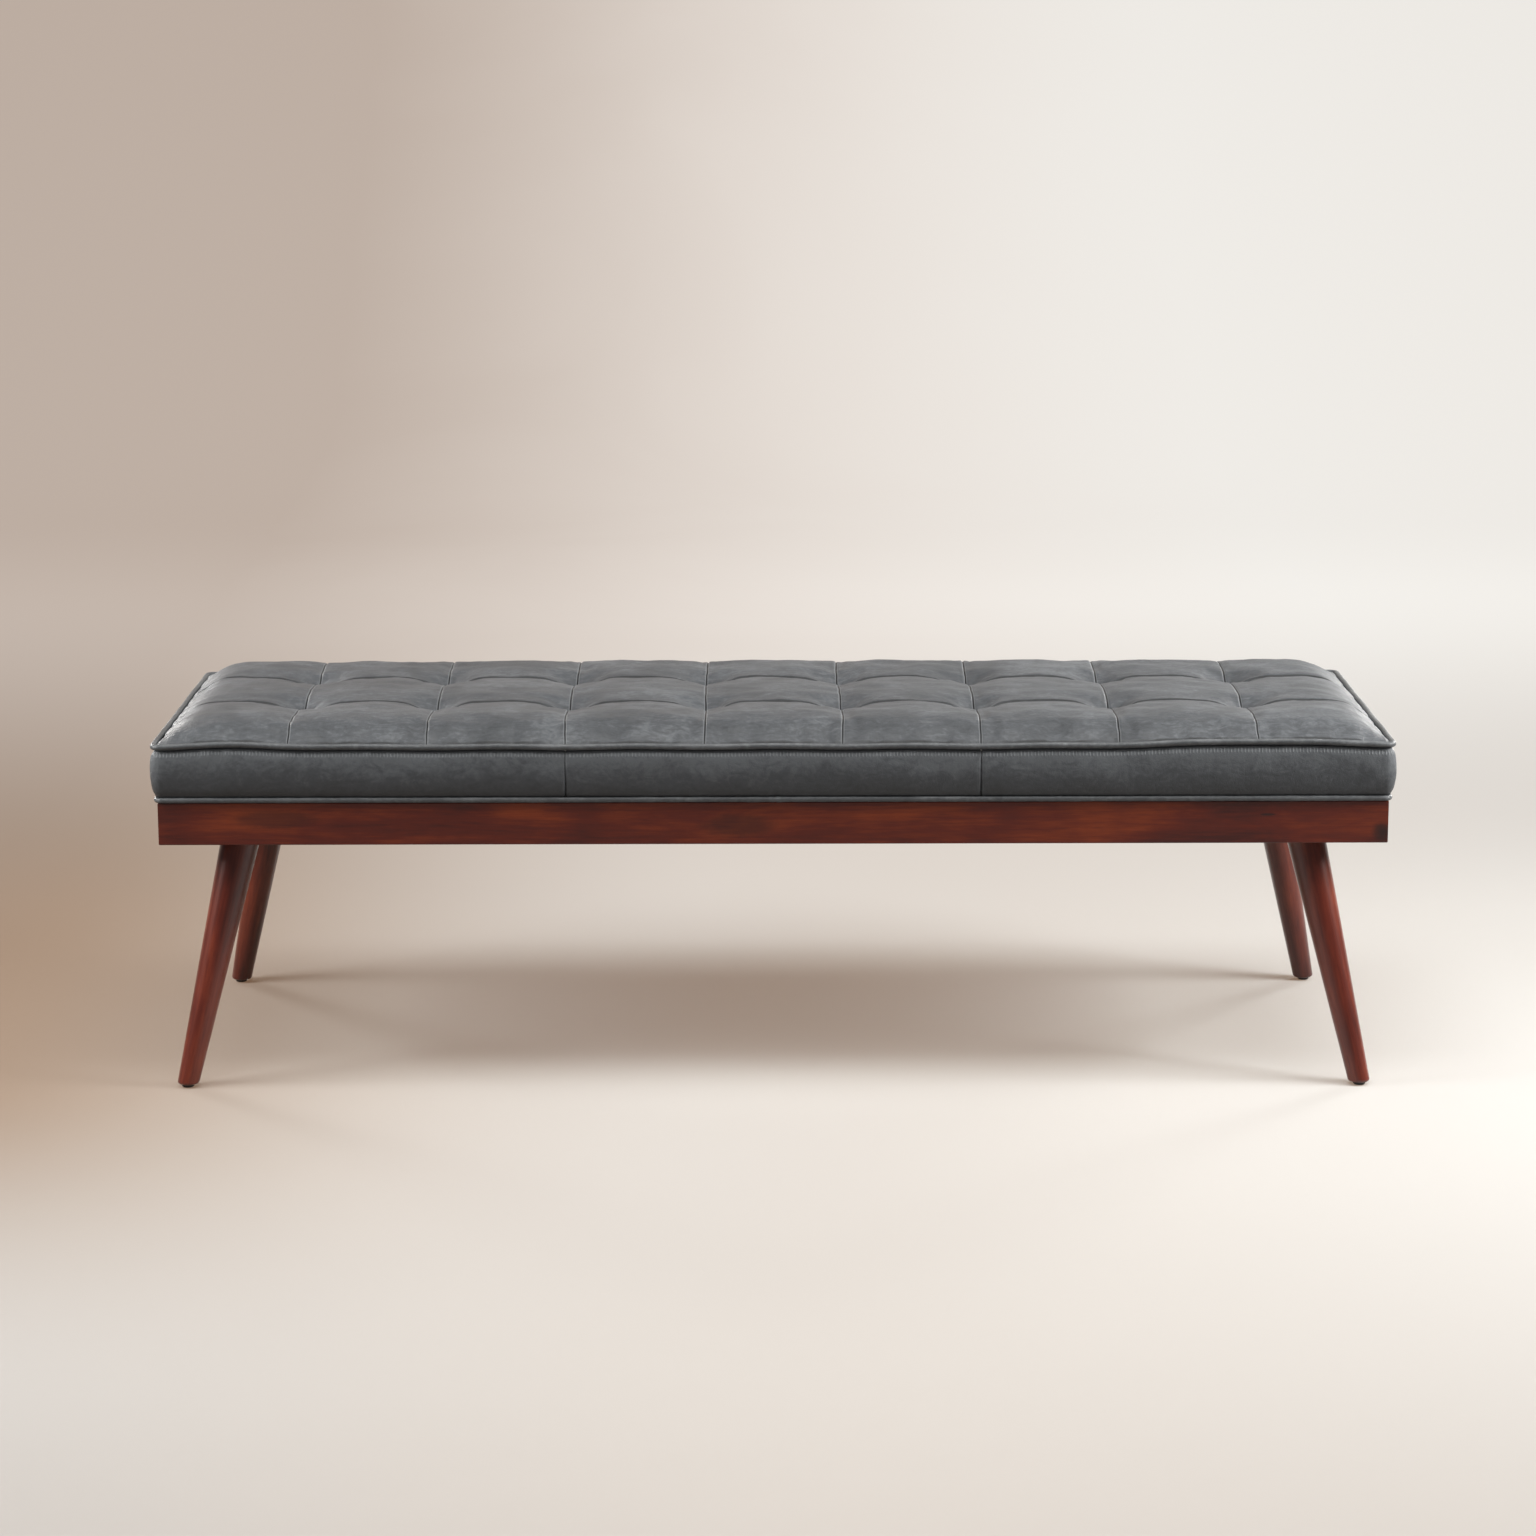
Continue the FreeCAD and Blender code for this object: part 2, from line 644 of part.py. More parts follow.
INSERT_START = "(Sizes.insert_diameter / 2)"


def make_inserts():
    """Tubes that sit along the bolt's axis just inside the corner block."""
    inserts = []
    for corner, side_x, side_y in CORNERS:
        body = new_body(f"threaded_insert_{corner}")
        ring = new_sketch(
            body, "XY_Plane", f"threaded_insert_{corner}_ring", INSERT_START
        )
        circles(ring, [("0", "0")], "Sizes.insert_diameter / 2")
        circles(
            ring, [("0", "0")], "Sizes.leg_bolt_diameter / 2 + Sizes.fit_clearance"
        )
        pad(body, ring, "Sizes.insert_length", f"threaded_insert_{corner}_barrel")
        splay(
            body, side_x, side_y,
            f"{side_x} * {LEG_X}", f"{side_y} * {LEG_Y}", "Sizes.leg_height",
        )
        inserts.append(body)
    return add_group("threaded_inserts", inserts)


make_hanger_bolts()
make_inserts()

# Corner blocks: glued into the frame's corners, screwed to both rails.


def screw_profile(body, name, grip, bite):
    """Countersunk wood screw; its head's underside is the local origin."""
    profile = new_sketch(body, "XZ_Plane", f"{name}_profile")
    shank = "Sizes.screw_diameter / 2"
    head = "Sizes.screw_head_diameter / 2"
    reach = f"({grip} + {bite} - Sizes.fit_clearance)"
    polygon(
        profile,
        (
            ("0", "-Sizes.screw_head_height"),
            (head, "-Sizes.screw_head_height"),
            (head, "0"),
            (shank, "0"),
            (shank, f"{reach} - Sizes.screw_diameter"),
            ("0", reach),
        ),
    )
    turning = body.newObject("PartDesign::Revolution", f"{name}_turning")
    turning.Profile = profile
    turning.ReferenceAxis = (profile, ["V_Axis"])
    turning.Angle = 360


def corner_screw_places(side_x, side_y):
    """Head seats and directions of the three screws of one corner block."""
    upper = f"Sizes.leg_height + {LONG_SCREW_LEVEL}"
    lower = f"Sizes.leg_height + {SHORT_SCREW_LEVEL}"
    seat_y = f"{side_y} * ({INNER_DEPTH} / 2 - Sizes.screw_grip)"
    seat_x = f"{side_x} * ({INNER_LENGTH} / 2 - Sizes.screw_grip)"
    places = [
        (f"{side_x} * {x}", seat_y, upper, Vector(0, side_y, 0)) for x in LONG_SCREW_X
    ]
    places.append((seat_x, f"{side_y} * {SHORT_SCREW_Y}", lower, Vector(side_x, 0, 0)))
    return places


def make_corner_block(corner, side_x, side_y):
    label = f"corner_block_{corner}"
    body = new_body(f"{label}_blank")
    outline = new_sketch(body, "XY_Plane", f"{label}_outline")
    outer_x = f"{side_x} * {INNER_LENGTH} / 2"
    inner_x = f"{side_x} * {BLOCK_INNER_X}"
    outer_y = f"{side_y} * {INNER_DEPTH} / 2"
    inner_y = f"{side_y} * ({INNER_DEPTH} / 2 - Sizes.corner_block_width)"
    clip = "Sizes.corner_block_clip"
    # The clip takes off the inner corner, which touches neither rail.
    polygon(
        outline,
        (
            (outer_x, outer_y),
            (inner_x, outer_y),
            (inner_x, f"{inner_y} + {side_y} * {clip}"),
            (f"{inner_x} + {side_x} * {clip}", inner_y),
            (outer_x, inner_y),
        ),
    )
    pad(body, outline, "Sizes.corner_block_thickness", f"{label}_board")
    place(body, "0", "0", "Sizes.leg_height")
    bore = cylinder(
        f"{label}_insert_bore",
        "Sizes.insert_diameter / 2 + Sizes.fit_clearance",
        "2 * Sizes.corner_block_thickness",
    )
    bore_x = f"{side_x} * {LEG_X}"
    bore_y = f"{side_y} * {LEG_Y}"
    splay(bore, side_x, side_y, bore_x, bore_y, "Sizes.leg_height")
    # The bore runs right through, so it also starts below the block.
    run_out = f"{INSERT_START} * tan(Sizes.leg_splay * 1 deg)"
    bore.setExpression("Placement.Base.x", f"{bore_x} + {side_x} * {run_out}")
    bore.setExpression("Placement.Base.y", f"{bore_y} + {side_y} * {run_out}")
    bore.setExpression("Placement.Base.z", f"Sizes.leg_height - {INSERT_START}")
    tools = [bore]
    for index, (x, y, z, direction) in enumerate(corner_screw_places(side_x, side_y)):
        head_run = "Sizes.corner_block_length"
        counterbore = cylinder(
            f"{label}_counterbore_{index}",
            "Sizes.screw_head_diameter / 2 + Sizes.fit_clearance",
            head_run,
        )
        aim(counterbore, (x, y, z), -direction)
        shank_hole = cylinder(
            f"{label}_shank_hole_{index}",
            "Sizes.screw_diameter / 2 + Sizes.fit_clearance",
            "Sizes.screw_grip",
        )
        aim(shank_hole, (x, y, z), direction)
        tools += [counterbore, shank_hole]
    return add_node(label, cut(label, body, tools))


for corner, side_x, side_y in CORNERS:
    make_corner_block(corner, side_x, side_y)


def make_corner_screws():
    screws = []
    for corner, side_x, side_y in CORNERS:
        for index, spot in enumerate(corner_screw_places(side_x, side_y)):
            name = f"corner_screw_{corner}_{index}"
            body = new_body(name)
            screw_profile(body, name, "Sizes.screw_grip", "Sizes.screw_bite")
            aim(body, spot[:3], spot[3])
            screws.append(body)
    return add_group("corner_block_screws", screws)


make_corner_screws()

# Glides: round plastic buttons under the legs, each on its own nail.


def make_glide(corner, side_x, side_y):
    label = f"glide_{corner}"
    body = new_body(label)
    profile = new_sketch(body, "XZ_Plane", f"{label}_profile")
    nail = "Sizes.nail_diameter / 2 + Sizes.fit_clearance"
    recess = "Sizes.nail_head_diameter / 2 + Sizes.fit_clearance"
    rim = "Sizes.glide_diameter / 2"
    rounding = "Sizes.glide_rounding"
    # The nail's head is moulded in, so the underside is whole.
    floor = "Sizes.nail_head_height"
    roof = "2 * Sizes.nail_head_height"
    polygon(
        profile,
        (
            ("0", "0"),
            (f"{rim} - {rounding}", "0"),
            (rim, rounding),
            (rim, "Sizes.glide_height"),
            (nail, "Sizes.glide_height"),
            (nail, roof),
            (recess, roof),
            (recess, floor),
            ("0", floor),
        ),
    )
    turning = body.newObject("PartDesign::Revolution", f"{label}_turning")
    turning.Profile = profile
    turning.ReferenceAxis = (profile, ["V_Axis"])
    turning.Angle = 360
    place(
        body,
        f"{side_x} * ({LEG_X} + {FOOT_SHIFT})",
        f"{side_y} * ({LEG_Y} + {FOOT_SHIFT})",
        "0",
    )
    return add_node(label, body)


def make_glide_nails():
    nails = []
    for corner, side_x, side_y in CORNERS:
        name = f"glide_nail_{corner}"
        body = new_body(name)
        profile = new_sketch(body, "XZ_Plane", f"{name}_profile")
        head = "Sizes.nail_head_diameter / 2"
        shank = "Sizes.nail_diameter / 2"
        base = "Sizes.nail_head_height"
        seat = "2 * Sizes.nail_head_height"
        tip = "Sizes.nail_length"
        polygon(
            profile,
            (
                ("0", base),
                (head, base),
                (head, seat),
                (shank, seat),
                (shank, f"{tip} - 2 * {shank}"),
                ("0", tip),
            ),
        )
        turning = body.newObject("PartDesign::Revolution", f"{name}_turning")
        turning.Profile = profile
        turning.ReferenceAxis = (profile, ["V_Axis"])
        turning.Angle = 360
        place(
            body,
            f"{side_x} * ({LEG_X} + {FOOT_SHIFT})",
            f"{side_y} * ({LEG_Y} + {FOOT_SHIFT})",
            "0",
        )
        nails.append(body)
    return add_group("glide_nails", nails)


for corner, side_x, side_y in CORNERS:
    make_glide(corner, side_x, side_y)
make_glide_nails()

# Tuft crossings, shared by the deck's holes, the foam's bores and the ties.


def tuft_spots():
    columns = int(size("tuft_columns"))
    rows = int(size("tuft_rows"))
    return [
        (
            f"({column} - Sizes.tuft_columns / 2) * {PUFF_LENGTH}",
            f"({row} - Sizes.tuft_rows / 2) * {PUFF_DEPTH}",
        )
        for row in range(1, rows)
        for column in range(1, columns)
    ]


TUFTS = tuft_spots()

# Seat deck: plywood with rounded corners, drilled for the tufting twine.


def make_deck():
    body = new_body("seat_deck")
    outline = new_sketch(body, "XY_Plane", "seat_deck_outline")
    rounded_rectangle(
        outline, f"{DECK_LENGTH} / 2", f"{DECK_DEPTH} / 2",
        "(Sizes.cushion_corner_radius - Sizes.deck_setback)",
    )
    pad(body, outline, "Sizes.deck_thickness", "seat_deck_board")
    holes = new_sketch(body, "XY_Plane", "seat_deck_tie_holes")
    circles(holes, TUFTS, "Sizes.tie_hole_diameter / 2")
    pocket(body, holes, "Sizes.deck_thickness", "seat_deck_drilled", reverse=True)
    pilots = new_sketch(body, "XY_Plane", "seat_deck_pilot_holes")
    spots = [
        (x, f"{sign} * Sizes.deck_screw_span / 2")
        for x in CROSS_PLACES
        for sign in (-1, 1)
    ]
    circles(pilots, spots, "Sizes.screw_diameter / 2 + Sizes.fit_clearance")
    pocket(body, pilots, "Sizes.deck_screw_bite", "seat_deck_piloted", reverse=True)
    place(body, "0", "0", DECK_BOTTOM)
    return add_node("seat_deck", body)


make_deck()


def make_deck_screws():
    screws = []
    for x in CROSS_PLACES:
        for sign in (-1, 1):
            name = "deck_screw"
            body = new_body(name)
            grip = "(Sizes.deck_screw_grip + Sizes.hem_thickness)"
            screw_profile(body, name, grip, "Sizes.deck_screw_bite")
            place(body, x, f"{sign} * Sizes.deck_screw_span / 2", SCREW_HEAD_LEVEL)
            screws.append(body)
    return add_group("deck_screws", screws)


make_deck_screws()


def make_hem():
    """Leather hem of the cover, folded under the deck all round."""
    body = new_body("cover_hem")
    ring = new_sketch(body, "XY_Plane", "cover_hem_ring")
    rounded_rectangle(
        ring, f"{DECK_LENGTH} / 2", f"{DECK_DEPTH} / 2",
        "(Sizes.cushion_corner_radius - Sizes.deck_setback)",
    )
    rectangle(
        ring,
        f"{DECK_LENGTH} / 2 - Sizes.hem_width",
        f"{DECK_DEPTH} / 2 - Sizes.hem_width",
    )
    pad(body, ring, "Sizes.hem_thickness", "cover_hem_leather")
    place(body, "0", "0", FRAME_TOP)
    return add_node("cover_hem", body)


make_hem()

# Foam core and the wadding that wraps its top and sides.


def cushion_block(name, inset, bottom, height):
    """Slab that follows the cushion's outline, a given inset inside it."""
    body = new_body(name)
    outline = new_sketch(body, "XY_Plane", f"{name}_outline")
    rounded_rectangle(
        outline,
        f"Sizes.cushion_length / 2 - {inset}",
        f"Sizes.cushion_depth / 2 - {inset}",
        f"(Sizes.cushion_corner_radius - {inset})",
    )
    slab = pad(body, outline, height, f"{name}_slab")
    place(body, "0", "0", bottom)
    return body, slab


def top_rim(box_top):
    return lambda box: box.ZMin > box_top - 0.01


def make_foam():
    body, slab = cushion_block("foam_core", FOAM_INSET, DECK_TOP, "Sizes.foam_height")
    eased = round_edges(
        body, slab, "foam_core_eased", top_rim(size("foam_height")),
        "Sizes.foam_edge_radius",
    )
    body.Tip = eased
    bores = new_sketch(body, "XY_Plane", "foam_core_tie_bores")
    circles(bores, TUFTS, "Sizes.tie_hole_diameter / 2")
    pocket(body, bores, "Sizes.foam_height", "foam_core_bored", reverse=True)
    return add_node("foam_core", body)


def make_wadding():
    height = f"({WADDING_TOP} - {DECK_TOP})"
    block, _ = cushion_block("wadding_block", WADDING_INSET, DECK_TOP, height)
    hollow, core = cushion_block(
        "wadding_hollow", f"({FOAM_INSET} - Sizes.soft_gap)", DECK_TOP,
        "Sizes.foam_height + Sizes.soft_gap",
    )
    eased = round_edges(
        hollow, core, "wadding_hollow_eased",
        top_rim(size("foam_height") + size("soft_gap")),
        "Sizes.foam_edge_radius + Sizes.soft_gap",
    )
    hollow.Tip = eased
    tools = [hollow]
    for index, (x, y) in enumerate(TUFTS):
        bore = cylinder(
            f"wadding_bore_{index}", "Sizes.tie_hole_diameter / 2", height
        )
        place(bore, x, y, DECK_TOP)
        tools.append(bore)
    return add_node("wadding_wrap", cut("wadding_wrap", block, tools))


make_foam()
make_wadding()

# Piping: leather rolled round a cord, sewn into the cover's two long seams.


def loop_length(out):
    """Length of a piping's centre line."""
    straights = 2 * (size("cushion_length") + size("cushion_depth"))
    corner = size("cushion_corner_radius")
    return straights - 8 * corner + 2 * math.pi * (corner + number(out))


def sweep(body, section, route, name):
    """Run a section along a route in the same body."""
    feature = body.newObject("PartDesign::AdditivePipe", name)
    feature.Profile = section
    feature.Spine = (route, [])
    feature.Mode = "Standard"
    doc.recompute()
    return feature


def make_piping(label, out, height, diameter):
    """Closed roll, a given way outside the cushion's outline."""
    body = new_body(label)
    loop = new_sketch(body, "XY_Plane", f"{label}_loop", height)
    rounded_rectangle(
        loop,
        f"Sizes.cushion_length / 2 + {out}",
        f"Sizes.cushion_depth / 2 + {out}",
        f"(Sizes.cushion_corner_radius + {out})",
    )
    ring = new_sketch(body, "YZ_Plane", f"{label}_section")
    middle_of_front = (f"-(Sizes.cushion_depth / 2 + {out})", height)
    circles(ring, [middle_of_front], f"{diameter} / 2")
    roll = sweep(body, ring, loop, f"{label}_roll")
    swept = math.pi * number(f"{diameter} / 2") ** 2 * loop_length(out)
    print(
        f"{label}: loop {loop_length(out):.1f} mm, volume over section times length "
        f"{roll.Shape.Volume / swept:.4f}"
    )
    return add_node(label, body)


make_piping(
    "bottom_piping", BOTTOM_PIPING_OUT, BOTTOM_PIPING_Z, "Sizes.bottom_piping_diameter"
)
make_piping("top_piping", TOP_PIPING_OUT, TOP_PIPING_Z, "Sizes.top_piping_diameter")

# Boxing: the side band in eight pieces, as long as three puffs each on the long
# sides, drawn in at both pipings. The outer ones go round the upright corners.

BOXING_LOW = (
    f"({BOTTOM_PIPING_Z} + Sizes.bottom_piping_diameter / 2 + Sizes.piping_clearance)"
)
BOXING_HIGH = (
    f"({TOP_PIPING_Z} - Sizes.top_piping_diameter / 2 - Sizes.piping_clearance)"
)
BOXING_MIDDLE = f"(({BOXING_LOW} + {BOXING_HIGH}) / 2)"
BOXING_JOIN = f"(1.5 * {PUFF_LENGTH})"


def arc_through(sketch, start, middle, end):
    """Arc from start to end, counter-clockwise, through a middle point."""
    spots = [Vector(number(x), number(y), 0) for x, y in (start, middle, end)]
    arc = sketch.addGeometry(Part.Arc(*spots), False)
    pin_point(sketch, arc, 1, start)
    pin_point(sketch, arc, 2, end)
    guide = sketch.addGeometry(Part.Point(spots[1]), True)
    pin_point(sketch, guide, 1, middle)
    sketch.addConstraint(Sketcher.Constraint("PointOnObject", guide, 1, arc))
    return arc


def boxing_section(body, name, half_width, offset):
    """Bowed band of leather seen from the end of a side, on the -Y side."""
    section = new_sketch(body, "YZ_Plane", name, offset)

    def bow(inward):
        return (
            (f"-({half_width} - Sizes.boxing_draw_top - {inward})", BOXING_HIGH),
            (f"-({half_width} - {inward})", BOXING_MIDDLE),
            (f"-({half_width} - Sizes.boxing_draw_bottom - {inward})", BOXING_LOW),
        )

    outer = arc_through(section, *bow("0"))
    inner = arc_through(section, *bow("Sizes.leather_thickness"))
    for point in (1, 2):
        edge = section.addGeometry(
            Part.LineSegment(
                section.getPoint(outer, point), section.getPoint(inner, point)
            ),
            False,
        )
        section.addConstraint(Sketcher.Constraint("Coincident", outer, point, edge, 1))
        section.addConstraint(Sketcher.Constraint("Coincident", inner, point, edge, 2))
    return section


def make_straight_boxing(label, half_width, length, turn):
    body = new_body(label)
    section = boxing_section(body, f"{label}_section", half_width, "0")
    pad(body, section, length, f"{label}_band", midplane=True)
    place(body, turn=turn)
    return add_node(label, body)


def make_corner_boxing(label, side, turn):
    """Band from a join on a long side to just round the upright corner."""
    body = new_body(label)
    start = f"{side} * ({BOXING_JOIN} + Sizes.boxing_joint / 2)"
    section = boxing_section(
        body, f"{label}_section", "Sizes.cushion_depth / 2", start
    )
    route = new_sketch(body, "XY_Plane", f"{label}_route", BOXING_LOW)
    radius = number("Sizes.cushion_corner_radius")
    half_x = number("Sizes.cushion_length / 2")
    half_y = number("Sizes.cushion_depth / 2")
    centre = Vector(side * (half_x - radius), radius - half_y, 0)
    angles = (270, 360) if side > 0 else (180, 270)
    corner = route.addGeometry(
        Part.ArcOfCircle(
            Part.Circle(centre, Vector(0, 0, 1), radius),
            math.radians(angles[0]),
            math.radians(angles[1]),
        ),
        False,
    )
    centre_x = "(Sizes.cushion_length / 2 - Sizes.cushion_corner_radius)"
    centre_y = "(Sizes.cushion_depth / 2 - Sizes.cushion_corner_radius)"
    long_end, short_end = (1, 2) if side > 0 else (2, 1)
    pin_point(route, corner, 3, (f"{side} * {centre_x}", f"-{centre_y}"))
    pin_point(
        route, corner, long_end, (f"{side} * {centre_x}", "-Sizes.cushion_depth / 2")
    )
    level = route.addConstraint(
        Sketcher.Constraint("DistanceY", -1, 1, corner, short_end, -number(centre_y))
    )
    route.setExpression(f"Constraints[{level}]", f"-{centre_y}")
    straight = route.addGeometry(
        Part.LineSegment(
            Vector(number(start), -half_y, 0), route.getPoint(corner, long_end)
        ),
        False,
    )
    pin_point(route, straight, 1, (start, "-Sizes.cushion_depth / 2"))
    route.addConstraint(
        Sketcher.Constraint("Coincident", straight, 2, corner, long_end)
    )
    sweep(body, section, route, f"{label}_band")
    place(body, turn=turn)
    return add_node(label, body)


for side_name, turn in (("front", 0), ("rear", 180)):
    make_straight_boxing(
        f"{side_name}_boxing_middle",
        "Sizes.cushion_depth / 2",
        f"2 * {BOXING_JOIN} - Sizes.boxing_joint",
        turn,
    )
    for hand, side in (("left", -1), ("right", 1)):
        facing = side if turn == 0 else -side
        make_corner_boxing(f"{side_name}_boxing_{hand}", facing, turn)
for end_name, turn in (("left", -90), ("right", 90)):
    make_straight_boxing(
        f"{end_name}_end_boxing",
        "Sizes.cushion_length / 2",
        "Sizes.cushion_depth - 2 * (Sizes.cushion_corner_radius + Sizes.boxing_joint)",
        turn,
    )

# Tufted top: nine by three leather puffs. They are drawn down where four of them
# meet, arch along their seams, crown in the middle and roll down to the piping.

PUFF_EDGE_INSET = (
    "(Sizes.top_piping_tuck + Sizes.top_piping_diameter + Sizes.piping_clearance)"
)
# The rolled edge starts with a trace of its crown, so that every arc has a rise.
LEAST_RISE = 0.04
# A corner's rounding is a trace wider than its radius, so that it crosses the faces.
CORNER_FULLNESS = 1.02
# How much of the way to the crest a seam rises where no tuft holds it down.
SEAM_FREEDOM = 0.85
# Places of a puff's sections as shares of its width: between two seams, and from a
# rolled edge inwards across and along the bench.
INNER_SHARES = (0, 0.5, 1)
EDGE_SHARES = (0, 0.06, 0.25, 0.6, 1)
END_SHARES = (0, 0.06, 0.22, 0.5, 0.75, 1)


def seam_arch(share):
    """0 at both seams of a puff and 1 half way between them."""
    return 1 - (2 * share - 1) ** 2


def edge_roll(distance):
    """Rise of the rolled edge, from about 0 at the piping to 1 past the shoulder."""
    share = min(max(distance, 0) / size("shoulder_width"), 1)
    return max(math.sqrt(1 - (1 - share) ** 2), LEAST_RISE)


def grid_line(index, count, length):
    """Place of a seam, or of the puffs' outer edge."""
    inset = number(PUFF_EDGE_INSET)
    spot = (index / count - 0.5) * length
    if index == 0:
        return spot + inset
    if index == count:
        return spot - inset
    return spot


def puff_profile(spot, index, count, length):
    """Arch, freedom and edge roll of a puff at one place along one direction.

    An outer puff has tufts on its inner side only. Past its middle the arch stays, and
    its seams are free to rise towards the crest.
    """
    share = (spot + length / 2) / (length / count) - index
    from_edge = {0: share, count - 1: 1 - share}.get(index, 1)
    arch = 1 if from_edge < 0.5 else seam_arch(share)
    free = SEAM_FREEDOM * min(max(2 - 4 * from_edge, 0), 1)
    outer_edge = length / 2 - number(PUFF_EDGE_INSET)
    return arch, free, edge_roll(outer_edge - abs(spot))


def puff_height(x, y, column, row):
    """Height of the leather over a point of a puff."""
    arch_x, free_x, roll_x = puff_profile(
        x, column, int(size("tuft_columns")), size("cushion_length")
    )
    arch_y, free_y, roll_y = puff_profile(
        y, row, int(size("tuft_rows")), size("cushion_depth")
    )
    seam_rise = size("seam_rise")
    crest_loss = seam_rise - size("crest_rise")
    crown = (
        number(TUFT_Z) + seam_rise * (arch_x + arch_y) - crest_loss * arch_x * arch_y
    )
    crown += size("crest_rise") * ((1 - arch_x) * free_y + (1 - arch_y) * free_x)
    edge = number(TOP_PIPING_Z)
    return edge + (crown - edge) * roll_x * roll_y


def stations(index, count, length, shares, edge_shares):
    """Places across a puff; an outer puff has more of them near its edge."""
    start, end = (grid_line(index + step, count, length) for step in (0, 1))
    if index == 0:
        picked = edge_shares
    elif index == count - 1:
        picked = [1 - share for share in reversed(edge_shares)]
    else:
        picked = shares
    return [start + (end - start) * share for share in picked]


def round_corner(puff, corner_x, corner_y):
    """Give the upright outer corner of a corner puff the cushion's rounding."""
    radius = size("cushion_corner_radius") - number(PUFF_EDGE_INSET)
    base = number(PUFF_BASE)
    # The block reaches past the puff on every side that it cuts through.
    reach = 2 * radius
    height = number(CREST_Z) - base + 2 * reach
    centre = Vector(
        corner_x - math.copysign(radius, corner_x),
        corner_y - math.copysign(radius, corner_y),
        base - reach,
    )
    lowest = Vector(
        min(centre.x, centre.x + math.copysign(reach, corner_x)),
        min(centre.y, centre.y + math.copysign(reach, corner_y)),
        centre.z,
    )
    block = Part.makeBox(reach, reach, height, lowest)
    rounding = Part.makeCylinder(CORNER_FULLNESS * radius, height, centre)
    return puff.cut(block.cut(rounding))


def make_puff(column, row):
    """One puff, lofted along the bench through sections of lines and arcs."""
    across = stations(
        row, int(size("tuft_rows")), size("cushion_depth"),
        INNER_SHARES, EDGE_SHARES,
    )
    along = stations(
        column, int(size("tuft_columns")), size("cushion_length"),
        INNER_SHARES, END_SHARES,
    )
    base = number(PUFF_BASE)
    sections = []
    for x in along:
        top = [Vector(x, y, puff_height(x, y, column, row)) for y in across]
        arcs = [
            Part.Arc(*top[i : i + 3]).toShape() for i in range(0, len(top) - 1, 2)
        ]
        foot_front = Vector(x, across[0], base)
        foot_rear = Vector(x, across[-1], base)
        edges = [
            Part.makeLine(foot_front, top[0]),
            *arcs,
            Part.makeLine(top[-1], foot_rear),
            Part.makeLine(foot_rear, foot_front),
        ]
        sections.append(Part.Wire(edges))
    puff = Part.makeLoft(sections, True, False)
    if abs(along[0]) > abs(along[-1]):
        along.reverse()
    if abs(across[0]) > abs(across[-1]):
        across.reverse()
    is_corner = column in (0, LAST_COLUMN) and row in (0, int(size("tuft_rows")) - 1)
    return round_corner(puff, along[-1], across[-1]) if is_corner else puff


def make_puff_row(label, row):
    """One row of puffs, sewn side by side, as separate solids."""
    puffs = [make_puff(column, row) for column in range(int(size("tuft_columns")))]
    feature = doc.addObject("Part::Feature", label)
    feature.Shape = Part.makeCompound(puffs)
    feature.Placement = FreeCAD.Placement()
    return add_node(label, feature)


ROW_NAMES = ("front", "middle", "rear")
for row in range(int(size("tuft_rows"))):
    name = ROW_NAMES[row] if row < len(ROW_NAMES) else f"extra_{row}"
    make_puff_row(f"{name}_row_of_puffs", row)

# Tufting twine from the top's underside through foam and deck to its buttons.


def make_ties():
    ties = []
    for x, y in TUFTS:
        tie = cylinder(
            "tuft_tie", "Sizes.tie_diameter / 2", f"{WADDING_TOP} - {DECK_BOTTOM}"
        )
        place(tie, x, y, DECK_BOTTOM)
        ties.append(tie)
    return add_group("tuft_ties", ties)


def make_tie_buttons():
    """Discs under the deck, one at the end of each tie."""
    buttons = []
    for x, y in TUFTS:
        button = cylinder(
            "tie_button", "Sizes.tie_button_diameter / 2", "Sizes.tie_button_height"
        )
        place(button, x, y, f"{DECK_BOTTOM} - Sizes.tie_button_height")
        buttons.append(button)
    return add_group("tie_buttons", buttons)


make_ties()
make_tie_buttons()


def make_dust_cover():
    """Cloth stapled under the frame, cut out round the legs."""
    body = new_body("dust_cover")
    outline = new_sketch(body, "XY_Plane", "dust_cover_outline")
    rectangle(
        outline,
        f"{FRAME_LENGTH} / 2 - Sizes.dust_cover_setback",
        f"{FRAME_DEPTH} / 2 - Sizes.dust_cover_setback",
    )
    pad(body, outline, "Sizes.dust_cover_thickness", "dust_cover_cloth")
    cut_outs = new_sketch(body, "XY_Plane", "dust_cover_leg_holes")
    centres = [(f"{sx} * {LEG_X}", f"{sy} * {LEG_Y}") for _, sx, sy in CORNERS]
    room = f"Sizes.leg_top_diameter / 2 / cos({LEG_TILT}) + Sizes.dust_cover_leg_room"
    circles(cut_outs, centres, room)
    pocket(
        body, cut_outs, "Sizes.dust_cover_thickness", "dust_cover_cut_out", reverse=True
    )
    place(body, "0", "0", "Sizes.leg_height - Sizes.dust_cover_thickness")
    return add_node("dust_cover", body)


make_dust_cover()

doc.recompute()

failed = [
    obj.Name for obj in doc.Objects if "Invalid" in obj.State or "Error" in obj.State
]
if failed:
    raise RuntimeError(f"failed objects: {failed}")
for node in nodes:
    if node.Shape.isNull() or not node.Shape.isValid():
        raise RuntimeError(f"bad shape: {node.Label}")

os.makedirs("parts", exist_ok=True)
for node in nodes:
    node.Shape.exportStep(f"parts/{node.Label}.step")
print(f"{len(nodes)} sub-parts written")
